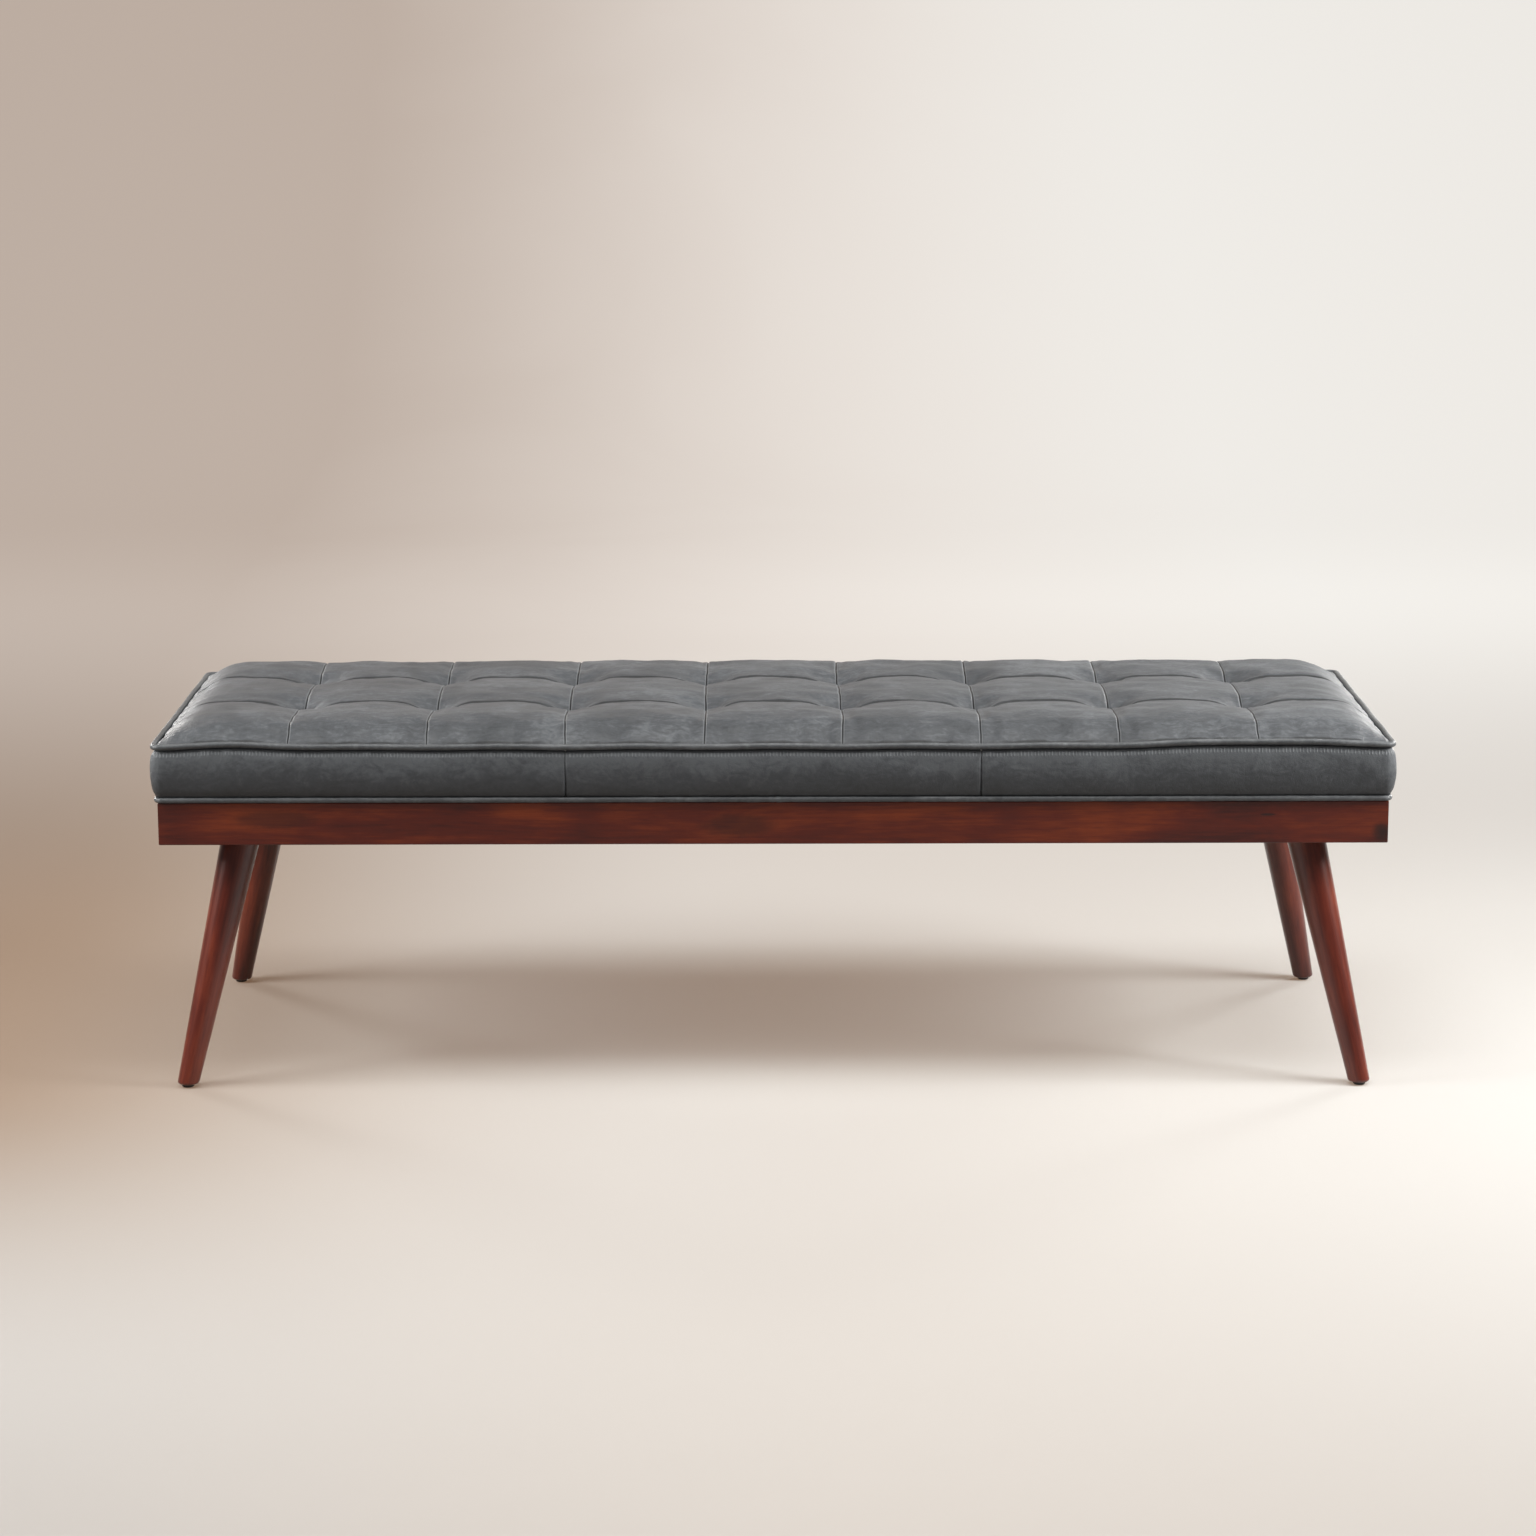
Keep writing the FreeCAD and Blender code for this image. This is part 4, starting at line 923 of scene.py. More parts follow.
@dataclass
class TuftedTop:
    """The sewn top: nine by three puffs, drawn down at sixteen tufts."""

    cushion: Cushion
    rim_inset: float = 0.0077
    corner_radius: float = 0.0063
    tuft_rise: float = 0.0125
    seam_rise: float = 0.0115
    crest_rise: float = 0.0046
    shoulder: float = 0.084
    fullness: float = 2.3
    rim_roll: float = 2.5
    tuft_dimple: float = 0.0078
    tuft_reach: float = 0.024
    tuft_scatter: float = 0.0008
    crest_scatter: float = 0.0005
    seam_freedom: float = 0.92
    cells_per_puff: int = 44
    crowding: float = 0.74
    groove_depth: float = 0.0016
    fold_depth: float = 0.0044
    groove_slope: float = 0.65
    lip_height: float = 0.0002
    lip_offset: float = 0.0035
    lip_width: float = 0.002
    crease_height: float = 0.00055
    crease_from: float = 0.005
    crease_to: float = 0.03
    waves: tuple[Span, ...] = ((0.00045, 0.055), (0.00012, 0.017))
    wander_by: float = 0.0009
    wander_length: float = 0.4
    wander_room: float = 0.06
    detail_room: float = 0.02
    lift_room: float = 0.07
    topstitch: tuple[Triple, ...] = (
        (0.0005, 0.0052, 0.0013), (-0.0006, 0.0026, 0.0012),
    )
    cloth_cell: float = 0.012
    cloth_cap: float = 0.0017
    cloth_steps: int = 20
    seam_hold: float = 0.35
    seed: int = 11

    def grid_lines(self, count: int, half: float) -> np.ndarray:
        """Places of the seams and of the rim along one direction."""
        lines = (np.arange(count + 1) / count - 0.5) * 2 * half
        lines[0] += self.rim_inset
        lines[-1] -= self.rim_inset
        return lines

    def crowd(self, share: np.ndarray, count: int) -> np.ndarray:
        """Crowd evenly spaced points towards the seams.

        Args:
            share: Shares from 0 to 1 of the whole length.
            count: Number of puffs in it.

        Returns:
            Puff coordinates from 0 to count.
        """
        spot = share * count
        return spot - self.crowding * np.sin(TURN * spot) / TURN

    def profile(
        self, spot: np.ndarray, count: int, places: np.ndarray, half: float
    ) -> tuple[np.ndarray, np.ndarray, np.ndarray]:
        """Arch, freedom from tufts and edge roll along one direction.

        Args:
            spot: Puff coordinates from 0 to count.
            count: Number of puffs.
            places: The same places in metres.
            half: Half of the whole length.

        Returns:
            Arch between seams, freedom of the seams, and roll to the rim.
        """
        index = np.clip(np.floor(spot), 0, count - 1)
        share = spot - index
        arch = 1 - np.abs(2 * share - 1) ** self.fullness
        from_edge = np.where(
            index == 0, share, np.where(index == count - 1, 1 - share, 1.0)
        )
        arch = np.where(from_edge < 0.5, 1.0, arch)
        free = self.seam_freedom * np.clip(2 - 4 * from_edge, 0, 1)
        distance = np.clip(half - self.rim_inset - np.abs(places), 0, None)
        left = 1 - np.clip(distance / self.shoulder, 0, 1)
        return arch, free, 1 - left**self.rim_roll

    def from_seam(
        self, along: np.ndarray, across: np.ndarray
    ) -> tuple[np.ndarray, np.ndarray, np.ndarray]:
        """Distances from the nearest seams, and whether a tuft joins them.

        Args:
            along: Puff coordinates along the bench.
            across: Puff coordinates across the bench.

        Returns:
            Distance along and across the bench, and where both seams are inner.
        """
        size = self.cushion
        inner = (
            (np.round(along) % size.columns > 0) & (np.round(across) % size.rows > 0)
        )
        off_x = (along - np.round(along)) * size.pitch[0]
        off_y = (across - np.round(across)) * size.pitch[1]
        return off_x, off_y, inner

    def height(
        self, along: np.ndarray, across: np.ndarray, x: np.ndarray, y: np.ndarray
    ) -> np.ndarray:
        """Height of the leather without seams and wrinkles.

        Args:
            along: Puff coordinates along the bench.
            across: Puff coordinates across the bench.
            x: The same places in metres.
            y: The same places in metres.

        Returns:
            Height above the floor.
        """
        size = self.cushion
        arch_x, free_x, roll_x = self.profile(along, size.columns, x, size.half_length)
        arch_y, free_y, roll_y = self.profile(across, size.rows, y, size.half_depth)
        chance = np.random.default_rng(self.seed)
        corners = (size.columns + 1, size.rows + 1)
        tufts = chance.normal(0, self.tuft_scatter, corners)
        crests = chance.normal(0, self.crest_scatter, (size.columns, size.rows))
        nearest = (
            np.round(along).astype(int).clip(0, size.columns),
            np.round(across).astype(int).clip(0, size.rows),
        )
        puff = (
            np.floor(along).astype(int).clip(0, size.columns - 1),
            np.floor(across).astype(int).clip(0, size.rows - 1),
        )
        crown = self.tuft_rise + self.seam_rise * (arch_x + arch_y)
        crown -= (self.seam_rise - self.crest_rise) * arch_x * arch_y
        crown += self.crest_rise * ((1 - arch_x) * free_y + (1 - arch_y) * free_x)
        off_x, off_y, inner = self.from_seam(along, across)
        dimple = self.tuft_dimple * bell(np.hypot(off_x, off_y), self.tuft_reach)
        crown -= np.where(inner, dimple, 0)
        crown += tufts[nearest] * (1 - arch_x) * (1 - arch_y)
        crown += crests[puff] * arch_x * arch_y
        return size.piping_height + crown * roll_x * roll_y

    def wrinkles(
        self, along: np.ndarray, across: np.ndarray, plan: np.ndarray
    ) -> np.ndarray:
        """Creases that run out from the tufts, and slight waves elsewhere.

        Args:
            along: Puff coordinates along the bench.
            across: Puff coordinates across the bench.
            plan: x and y of each point.

        Returns:
            Height to add.
        """
        off_x, off_y, inner = self.from_seam(along, across)
        distance = np.hypot(off_x, off_y)
        angle = np.arctan2(off_y, off_x)
        phase = 2.1 * np.round(along) + 1.3 * np.round(across)
        rays = np.sin(9 * angle + phase) + 0.6 * np.sin(15 * angle - 2 * phase)
        reach = bell(distance, self.crease_to) * (1 - bell(distance, self.crease_from))
        total = np.where(inner, self.crease_height * rays * reach, 0)
        for number, (height, length) in enumerate(self.waves, start=1):
            total += height * ripple(plan, length, self.seed + number)
        return total

    def grooves(self, along: np.ndarray, across: np.ndarray) -> np.ndarray:
        """Sewn seams: a narrow groove between two rounded lips.

        Args:
            along: Puff coordinates along the bench.
            across: Puff coordinates across the bench.

        Returns:
            Height to add.
        """
        total = np.zeros(len(along))
        size = self.cushion
        sides = (
            (along, size.pitch[0], size.columns, self.groove_depth),
            (across, size.pitch[1], size.rows, self.fold_depth),
        )
        for spot, pitch, count, depth in sides:
            seam = np.round(spot)
            inner = (seam > 0) & (seam < count)
            distance = np.abs(spot - seam) * pitch
            groove = -depth * bell(distance, depth * self.groove_slope)
            lip = self.lip_height * bell(distance - self.lip_offset, self.lip_width)
            total += np.where(inner, groove + lip, 0)
        return total

    def plan(self, along: np.ndarray, across: np.ndarray) -> np.ndarray:
        """Where puff coordinates lie seen from above, with rounded corners.

        Args:
            along: Puff coordinates along the bench.
            across: Puff coordinates across the bench.

        Returns:
            x and y of each point.
        """
        size = self.cushion
        lines_x = self.grid_lines(size.columns, size.half_length)
        lines_y = self.grid_lines(size.rows, size.half_depth)
        x = np.interp(along, np.arange(size.columns + 1), lines_x)
        y = np.interp(across, np.arange(size.rows + 1), lines_y)
        plan = np.stack((x, y), axis=1)
        centre = np.array([lines_x[-1], lines_y[-1]]) - self.corner_radius
        beyond = np.clip(np.abs(plan) - centre, 0, None)
        longest = beyond.max(axis=1)
        reach = np.hypot(beyond[:, 0], beyond[:, 1])
        both = (beyond > 0).all(axis=1)
        factor = np.where(both, longest / np.maximum(reach, 1e-9), 1.0)
        rounded = np.sign(plan) * (centre + beyond * factor[:, None])
        return np.where(both[:, None], rounded, plan)

    def wander(self, plan: np.ndarray) -> np.ndarray:
        """Shift points a little, so that no seam is quite straight.

        Args:
            plan: x and y of each point.

        Returns:
            The shifted points.
        """
        limit = np.array([self.cushion.half_length, self.cushion.half_depth])
        room = np.clip((limit - np.abs(plan)) / self.wander_room, 0, 1).min(axis=1)
        seeds = (self.seed + 3, self.seed + 4)
        shift = [ripple(plan, self.wander_length, seed) for seed in seeds]
        return plan + self.wander_by * np.stack(shift, axis=1) * room[:, None]

    def stuffed(self, plan: np.ndarray) -> np.ndarray:
        """Blow the leather up as cloth held at rim, tufts and seams.

        Args:
            plan: x and y of the points that want to know.

        Returns:
            How far the cloth moved at each of these points.
        """
        size = self.cushion
        columns = round(2 * size.half_length / self.cloth_cell)
        rows = round(2 * size.half_depth / self.cloth_cell)
        mesh, share_x, share_y = Sheet("cloth_trial", columns, rows).make()
        along, across = share_x * size.columns, share_y * size.rows
        flat = self.plan(along, across)
        height = self.height(along, across, flat[:, 0], flat[:, 1])
        start = np.column_stack((flat, height))
        mesh.vertices.foreach_set("co", start.astype(np.float32).ravel())
        trial = bpy.data.objects.new("cloth_trial", mesh)
        bpy.context.scene.collection.objects.link(trial)
        self.pin(trial, along, across)
        moved = self.simulate(trial) - start
        bpy.data.objects.remove(trial)
        length = np.linalg.norm(moved, axis=1)
        capped = self.cloth_cap * np.tanh(length / self.cloth_cap)
        moved *= (capped / np.maximum(length, 1e-9))[:, None]
        return self.sample(moved.reshape(rows + 1, columns + 1, 3), plan)

    def pin(
        self, trial: bpy.types.Object, along: np.ndarray, across: np.ndarray
    ) -> None:
        """Hold the cloth firmly at rim and tufts and softly at the seams.

        Args:
            trial: The cloth.
            along: Puff coordinates of its points.
            across: Puff coordinates of its points.
        """
        size = self.cushion
        off_x, off_y, _ = self.from_seam(along, across)
        rim = np.zeros(len(along), bool)
        for spot, count in ((along, size.columns), (across, size.rows)):
            rim |= np.minimum(spot, count - spot) < 1e-6
        tuft = np.hypot(off_x, off_y) < self.cloth_cell
        seam = np.minimum(np.abs(off_x), np.abs(off_y)) < self.cloth_cell / 2
        weights = np.where(rim | tuft, 1.0, np.where(seam, self.seam_hold, 0.0))
        group = trial.vertex_groups.new(name="sewn")
        for index in np.flatnonzero(weights):
            group.add([int(index)], float(weights[index]), "REPLACE")

    def simulate(self, trial: bpy.types.Object) -> np.ndarray:
        """Run the cloth and read where its points end.

        Args:
            trial: The cloth.

        Returns:
            Place of each point.
        """
        cloth = trial.modifiers.new("Cloth", "CLOTH")
        settings = cloth.settings
        settings.quality = 6
        settings.tension_stiffness = 18
        settings.compression_stiffness = 18
        settings.bending_stiffness = 2
        settings.use_pressure = True
        settings.uniform_pressure_force = 4
        settings.effector_weights.gravity = 0
        settings.vertex_group_mass = "sewn"
        settings.shrink_min = -0.02
        scene = bpy.context.scene
        for count in range(1, self.cloth_steps + 1):
            scene.frame_set(count)
        shaped = trial.evaluated_get(bpy.context.evaluated_depsgraph_get())
        places = np.zeros(len(shaped.data.vertices) * 3, np.float32)
        shaped.data.vertices.foreach_get("co", places)
        scene.frame_set(1)
        return places.reshape(-1, 3).astype(float)

    def sample(self, moved: np.ndarray, plan: np.ndarray) -> np.ndarray:
        """Read the cloth's movement between its points.

        Args:
            moved: Movement of the cloth's points in rows and columns.
            plan: x and y of the points that want to know.

        Returns:
            Movement at each of them.
        """
        rows, columns = (count - 1 for count in moved.shape[:2])
        half = np.array([self.cushion.half_length, self.cushion.half_depth])
        share = np.clip((plan / half + 1) / 2, 0, 1) * (columns, rows)
        low = np.minimum(share.astype(int), (columns - 1, rows - 1))
        part = share - low
        part = part * part * (3 - 2 * part)
        total = np.zeros((len(plan), 3))
        for step_x in (0, 1):
            for step_y in (0, 1):
                weight = np.abs(1 - step_x - part[:, 0]) * np.abs(
                    1 - step_y - part[:, 1]
                )
                corner = moved[low[:, 1] + step_y, low[:, 0] + step_x]
                total += weight[:, None] * corner
        return total

    def build(self) -> bpy.types.Object:
        """Make the top.

        Returns:
            The finished piece.
        """
        size = self.cushion
        mesh, share_x, share_y = Sheet(
            "tufted_leather_top",
            size.columns * self.cells_per_puff,
            size.rows * self.cells_per_puff,
        ).make()
        along = self.crowd(share_x, size.columns)
        across = self.crowd(share_y, size.rows)
        flat = self.plan(along, across)
        height = self.height(along, across, flat[:, 0], flat[:, 1])
        limit = np.array([size.half_length, size.half_depth]) - self.rim_inset
        from_rim = limit - np.abs(flat)
        inside = np.clip(from_rim / self.detail_room, 0, 1).min(axis=1)
        detail = self.wrinkles(along, across, flat) + self.grooves(along, across)
        near_front = 1 - np.clip(from_rim[:, 1] / self.lift_room, 0, 1)
        height += detail * inside + size.lift(flat) * near_front
        for rise, offset, width in self.topstitch:
            height += rise * bell(from_rim.min(axis=1) - offset, width)
        places = np.column_stack((self.wander(flat), height))
        places += self.stuffed(flat)
        pattern = np.column_stack((along * size.pitch[0], across * size.pitch[1]))
        lay_out(mesh, places, pattern)
        base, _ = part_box("middle_row_of_puffs")
        closed_mesh(mesh, base.z)
        leather = LeatherFinish(
            "top_leather_finish", Panel.TOP,
            shade(66, 69, 72), shade(82, 85, 89), shade(110, 114, 118),
            seam_pitch=size.pitch,
        )
        top = show(mesh, leather.build())
        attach(top, BODY)
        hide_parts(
            "front_row_of_puffs", "middle_row_of_puffs", "rear_row_of_puffs"
        )
        return top


@dataclass
class Boxing:
    """The leather band round the cushion's side, in eight sewn pieces."""

    cushion: Cushion
    draw_low: float = 0.0042
    draw_high: float = 0.0024
    thickness: float = 0.0015
    step: float = 0.0026
    rows: int = 26
    join: float = 0.254
    crease: float = 0.0032
    crease_reach: float = 0.085
    bulge: float = 0.0005
    seam_tuck: float = 0.0011
    seam_width: float = 0.0012
    seam_gap: float = 0.0001
    pucker: float = 0.0006
    gather: float = 0.00012
    wave: float = 0.0005

    def pieces(self) -> dict[str, Span]:
        """Start and end of each piece along the outline.

        Returns:
            Distances by CAD node.
        """
        outline = self.outline()
        ends = outline.legs()
        rear_middle = ends[3] + outline.half_length - outline.radius
        return {
            "front_boxing_middle": (-self.join, self.join),
            "front_boxing_right": (self.join, ends[1]),
            "right_end_boxing": (ends[1], ends[2]),
            "rear_boxing_right": (ends[2], rear_middle - self.join),
            "rear_boxing_middle": (rear_middle - self.join, rear_middle + self.join),
            "rear_boxing_left": (rear_middle + self.join, ends[5]),
            "left_end_boxing": (ends[5], ends[6]),
            "front_boxing_left": (ends[6], ends[8] - self.join),
        }

    def outline(self) -> Outline:
        """The cushion's widest line."""
        size = self.cushion
        return Outline(size.half_length, size.half_depth, size.corner_radius)

    def inset(self, up: np.ndarray) -> np.ndarray:
        """How far the bowed band lies inside its widest line.

        Args:
            up: Height from 0 to 1.

        Returns:
            Distance inwards, more in the creases under and over the pipings.
        """
        draw = np.where(up < 0.5, self.draw_low, self.draw_high)
        creases = bell(1 - up, self.crease_reach) + 0.6 * bell(up, self.crease_reach)
        bowed = draw * (2 * up - 1) ** 2 - self.bulge * np.sin(math.pi * up)
        return bowed + self.crease * creases

    def puckers(self, run: np.ndarray, up: np.ndarray) -> np.ndarray:
        """Soft upright folds under the piping, and waves over the whole band.

        Args:
            run: Distance along the outline.
            up: Height from 0 to 1.

        Returns:
            Distance to move outwards.
        """
        line = run[:, None]
        folds = ripple(line, 0.024, 41) + 0.5 * ripple(line, 0.009, 42)
        strength = np.clip(ripple(line, 0.13, 43), 0, 1)
        upper = np.clip((up - 0.45) / 0.5, 0, 1)
        lower = np.clip(1 - up / 0.25, 0, 1)
        under_piping = self.pucker * np.tanh(folds) * strength * upper
        above_frame = self.gather * ripple(line, 0.03, 34) * lower
        waves = self.wave * ripple(np.column_stack((run, up * 0.06)), 0.11, 35)
        return under_piping + above_frame + waves * np.sin(math.pi * up)

    def build(self, node: str, start: float, end: float) -> bpy.types.Object:
        """Make one piece of the band.

        Args:
            node: CAD node that it replaces.
            start: Where it starts along the outline.
            end: Where it ends.

        Returns:
            The finished piece.
        """
        size = self.cushion
        tall = size.high - size.low
        columns = max(8, round((end - start) / self.step))
        mesh, share, up = Sheet(f"{node}_leather", columns, self.rows).make()
        run = start + self.seam_gap + share * (end - start - 2 * self.seam_gap)
        outward_by = self.puckers(run, up) - self.inset(up)
        from_end = np.minimum(run - start, end - run)
        outward_by -= self.seam_tuck * bell(from_end, self.seam_width)
        spots, outward = self.outline().at(run)
        plan = spots + outward * outward_by[:, None]
        height = size.low + up * tall + size.lift(plan) * up
        lay_out(
            mesh, np.column_stack((plan, height)), np.column_stack((run, up * tall))
        )
        leather = LeatherFinish(
            f"{node}_finish", Panel.BAND,
            shade(70, 73, 76), shade(80, 83, 87), shade(101, 105, 109),
            band_height=tall,
        )
        band = show(mesh, leather.build())
        wall = band.modifiers.new("leather_thickness", "SOLIDIFY")
        wall.thickness = self.thickness
        wall.offset = -1
        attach(band, BODY)
        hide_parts(node)
        return band


@dataclass
class Piping:
    """Leather rolled over a cord, in one closed loop with a sewn join."""

    node: str
    cushion: Cushion
    join_at: float
    lift_share: float
    fullness: float = 1.1
    lumps: float = 0.02
    sway: float = 0.00025
    join_swell: float = 0.0003
    join_tuck: float = 0.0007
    roughness: float = 0.36
    sides: int = 16
    step: float = 0.0022

    def build(self) -> bpy.types.Object:
        """Make the piping.

        Returns:
            The finished piece.
        """
        low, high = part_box(self.node)
        radius = (high.z - low.z) / 2
        half_length, half_depth = high.x - radius, high.y - radius
        size = self.cushion
        corner = size.corner_radius - (size.half_length - half_length)
        outline = Outline(half_length, half_depth, corner)
        length = outline.legs()[-1]
        mesh, share, around = Sheet(
            f"{self.node}_leather", round(length / self.step), self.sides
        ).make()
        run = share * length
        angle = around * TURN
        spots, outward = outline.at(run)
        loop = np.column_stack((np.cos(share * TURN), np.sin(share * TURN)))
        loop *= length / TURN
        from_join = np.abs(run - self.join_at)
        swell = radius * (self.fullness + self.lumps * ripple(loop, 0.03, 51))
        swell += self.join_swell * bell(from_join, 0.008)
        swell -= self.join_tuck * bell(from_join, 0.0011)
        sway = self.sway * ripple(loop, 0.12, 52)
        plan = spots + outward * (swell * np.cos(angle) + sway)[:, None]
        height = (high.z + low.z) / 2 + swell * np.sin(angle)
        height += size.lift(spots) * self.lift_share
        lay_out(
            mesh, np.column_stack((plan, height)),
            np.column_stack((run, angle * radius)),
        )
        closed_mesh(mesh)
        leather = LeatherFinish(
            f"{self.node}_finish", Panel.PIPING,
            shade(74, 77, 80), shade(92, 95, 98), shade(118, 121, 124),
            roughness=self.roughness,
        )
        roll = show(mesh, leather.build())
        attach(roll, BODY)
        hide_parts(self.node)
        return roll


@dataclass
class DustCover:
    """Black cloth stapled under the frame."""

    cell: float = 0.0065
    leg_hole: float = 0.0262
    thickness: float = 0.0004
    sag: float = 0.0018
    sag_wave: float = 0.0007
    sag_room: float = 0.05
    staple_pitch: float = 0.045
    staple_inset: float = 0.005
    staple_length: float = 0.01
    staple_wire: float = 0.0007

    def leg_spots(self) -> list[Vector]:
        """Middles of the legs' tops, which the cloth is cut out round."""
        reach = self.leg_hole - 0.001
        spots = []
        for corner, (side_x, side_y) in CORNERS.items():
            low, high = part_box(f"leg_{corner}")
            x = (low.x if side_x > 0 else high.x) + side_x * reach
            y = (low.y if side_y > 0 else high.y) + side_y * reach
            spots.append(Vector((x, y)))
        return spots

    def cut_holes(self, mesh: bpy.types.Mesh, level: float) -> None:
        """Cut a round hole for each leg.

        Args:
            mesh: The cloth.
            level: Height of the holes' edges.
        """
        body = bmesh.new()
        body.from_mesh(mesh)
        for spot in self.leg_spots():
            near = [
                point for point in body.verts
                if (point.co.xy - spot).length < self.leg_hole
            ]
            bmesh.ops.delete(body, geom=near, context="VERTS")
            for point in body.verts:
                away = point.co.xy - spot
                if point.is_boundary and away.length < self.leg_hole + 2 * self.cell:
                    edge = spot + away.normalized() * self.leg_hole
                    point.co = (edge.x, edge.y, level)
        body.to_mesh(mesh)
        body.free()

    def cloth(self) -> bpy.types.Object:
        """Make the cloth.

        Returns:
            The finished sheet.
        """
        low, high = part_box("dust_cover")
        width, depth = high.x - low.x, high.y - low.y
        mesh, share_x, share_y = Sheet(
            "dust_cover_cloth", round(width / self.cell), round(depth / self.cell)
        ).make()
        x = low.x + share_x * width
        y = low.y + share_y * depth
        plan = np.column_stack((x, y))
        from_rim = np.minimum(
            np.minimum(x - low.x, high.x - x), np.minimum(y - low.y, high.y - y)
        )
        hold = np.clip(from_rim / self.sag_room, 0, 1)
        sag = (self.sag_wave * ripple(plan, 0.12, 61) - self.sag) * hold
        level = high.z - self.thickness
        lay_out(mesh, np.column_stack((plan, level + sag)), plan)
        self.cut_holes(mesh, level)
        sheet = show(mesh, ClothFinish().build())
        wall = sheet.modifiers.new("cloth_thickness", "SOLIDIFY")
        wall.thickness = self.thickness
        wall.offset = 1
        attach(sheet, BODY)
        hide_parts("dust_cover")
        return sheet

    def staples(self) -> bpy.types.Object:
        """Make the staples round the cloth's rim.

        Returns:
            All the staples as one piece.
        """
        low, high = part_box("dust_cover")
        body = bmesh.new()
        level = low.z - self.staple_wire / 2
        inset = self.staple_inset
        sides = ((low.x + inset, high.x - inset), (low.y + inset, high.y - inset))
        for axis, (start, end) in enumerate(sides):
            count = round((end - start) / self.staple_pitch)
            for number in range(count):
                spot = start + (number + 0.5) * (end - start) / count
                for edge in sides[1 - axis]:
                    place = (spot, edge, level) if axis == 0 else (edge, spot, level)
                    tilt = 0.1 * math.sin(7.3 * number + edge * 40)
                    self.staple(body, Vector(place), tilt + axis * math.pi / 2)
        mesh = bpy.data.meshes.new("dust_cover_staples")
        body.to_mesh(mesh)
        body.free()
        steel = PlainFinish(
            "staple_steel_finish", shade(150, 150, 152), shade(176, 176, 178),
            0.3, metallic=1.0,
        )
        piece = show(mesh, steel.build(), smooth=False)
        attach(piece, BODY)
        return piece

    def staple(self, body: bmesh.types.BMesh, place: Vector, turn: float) -> None:
        """Add one staple: a crown whose ends bend into the wood.

        Args:
            body: Mesh that takes it.
            place: Middle of its crown.
            turn: Its direction in radians.
        """
        matrix = Matrix.Translation(place) @ Matrix.Rotation(turn, 4, "Z")
        made = bmesh.ops.create_cube(body, size=1.0)["verts"]
        scale = (self.staple_length, self.staple_wire * 1.6, self.staple_wire)
        bmesh.ops.scale(body, vec=scale, verts=made)
        bmesh.ops.transform(body, matrix=matrix, verts=made)
        edges = list({edge for point in made for edge in point.link_edges})
        bmesh.ops.bevel(
            body, geom=edges, offset=self.staple_wire * 0.25, affect="EDGES",
            segments=1, profile=0.5, material=-1,
        )


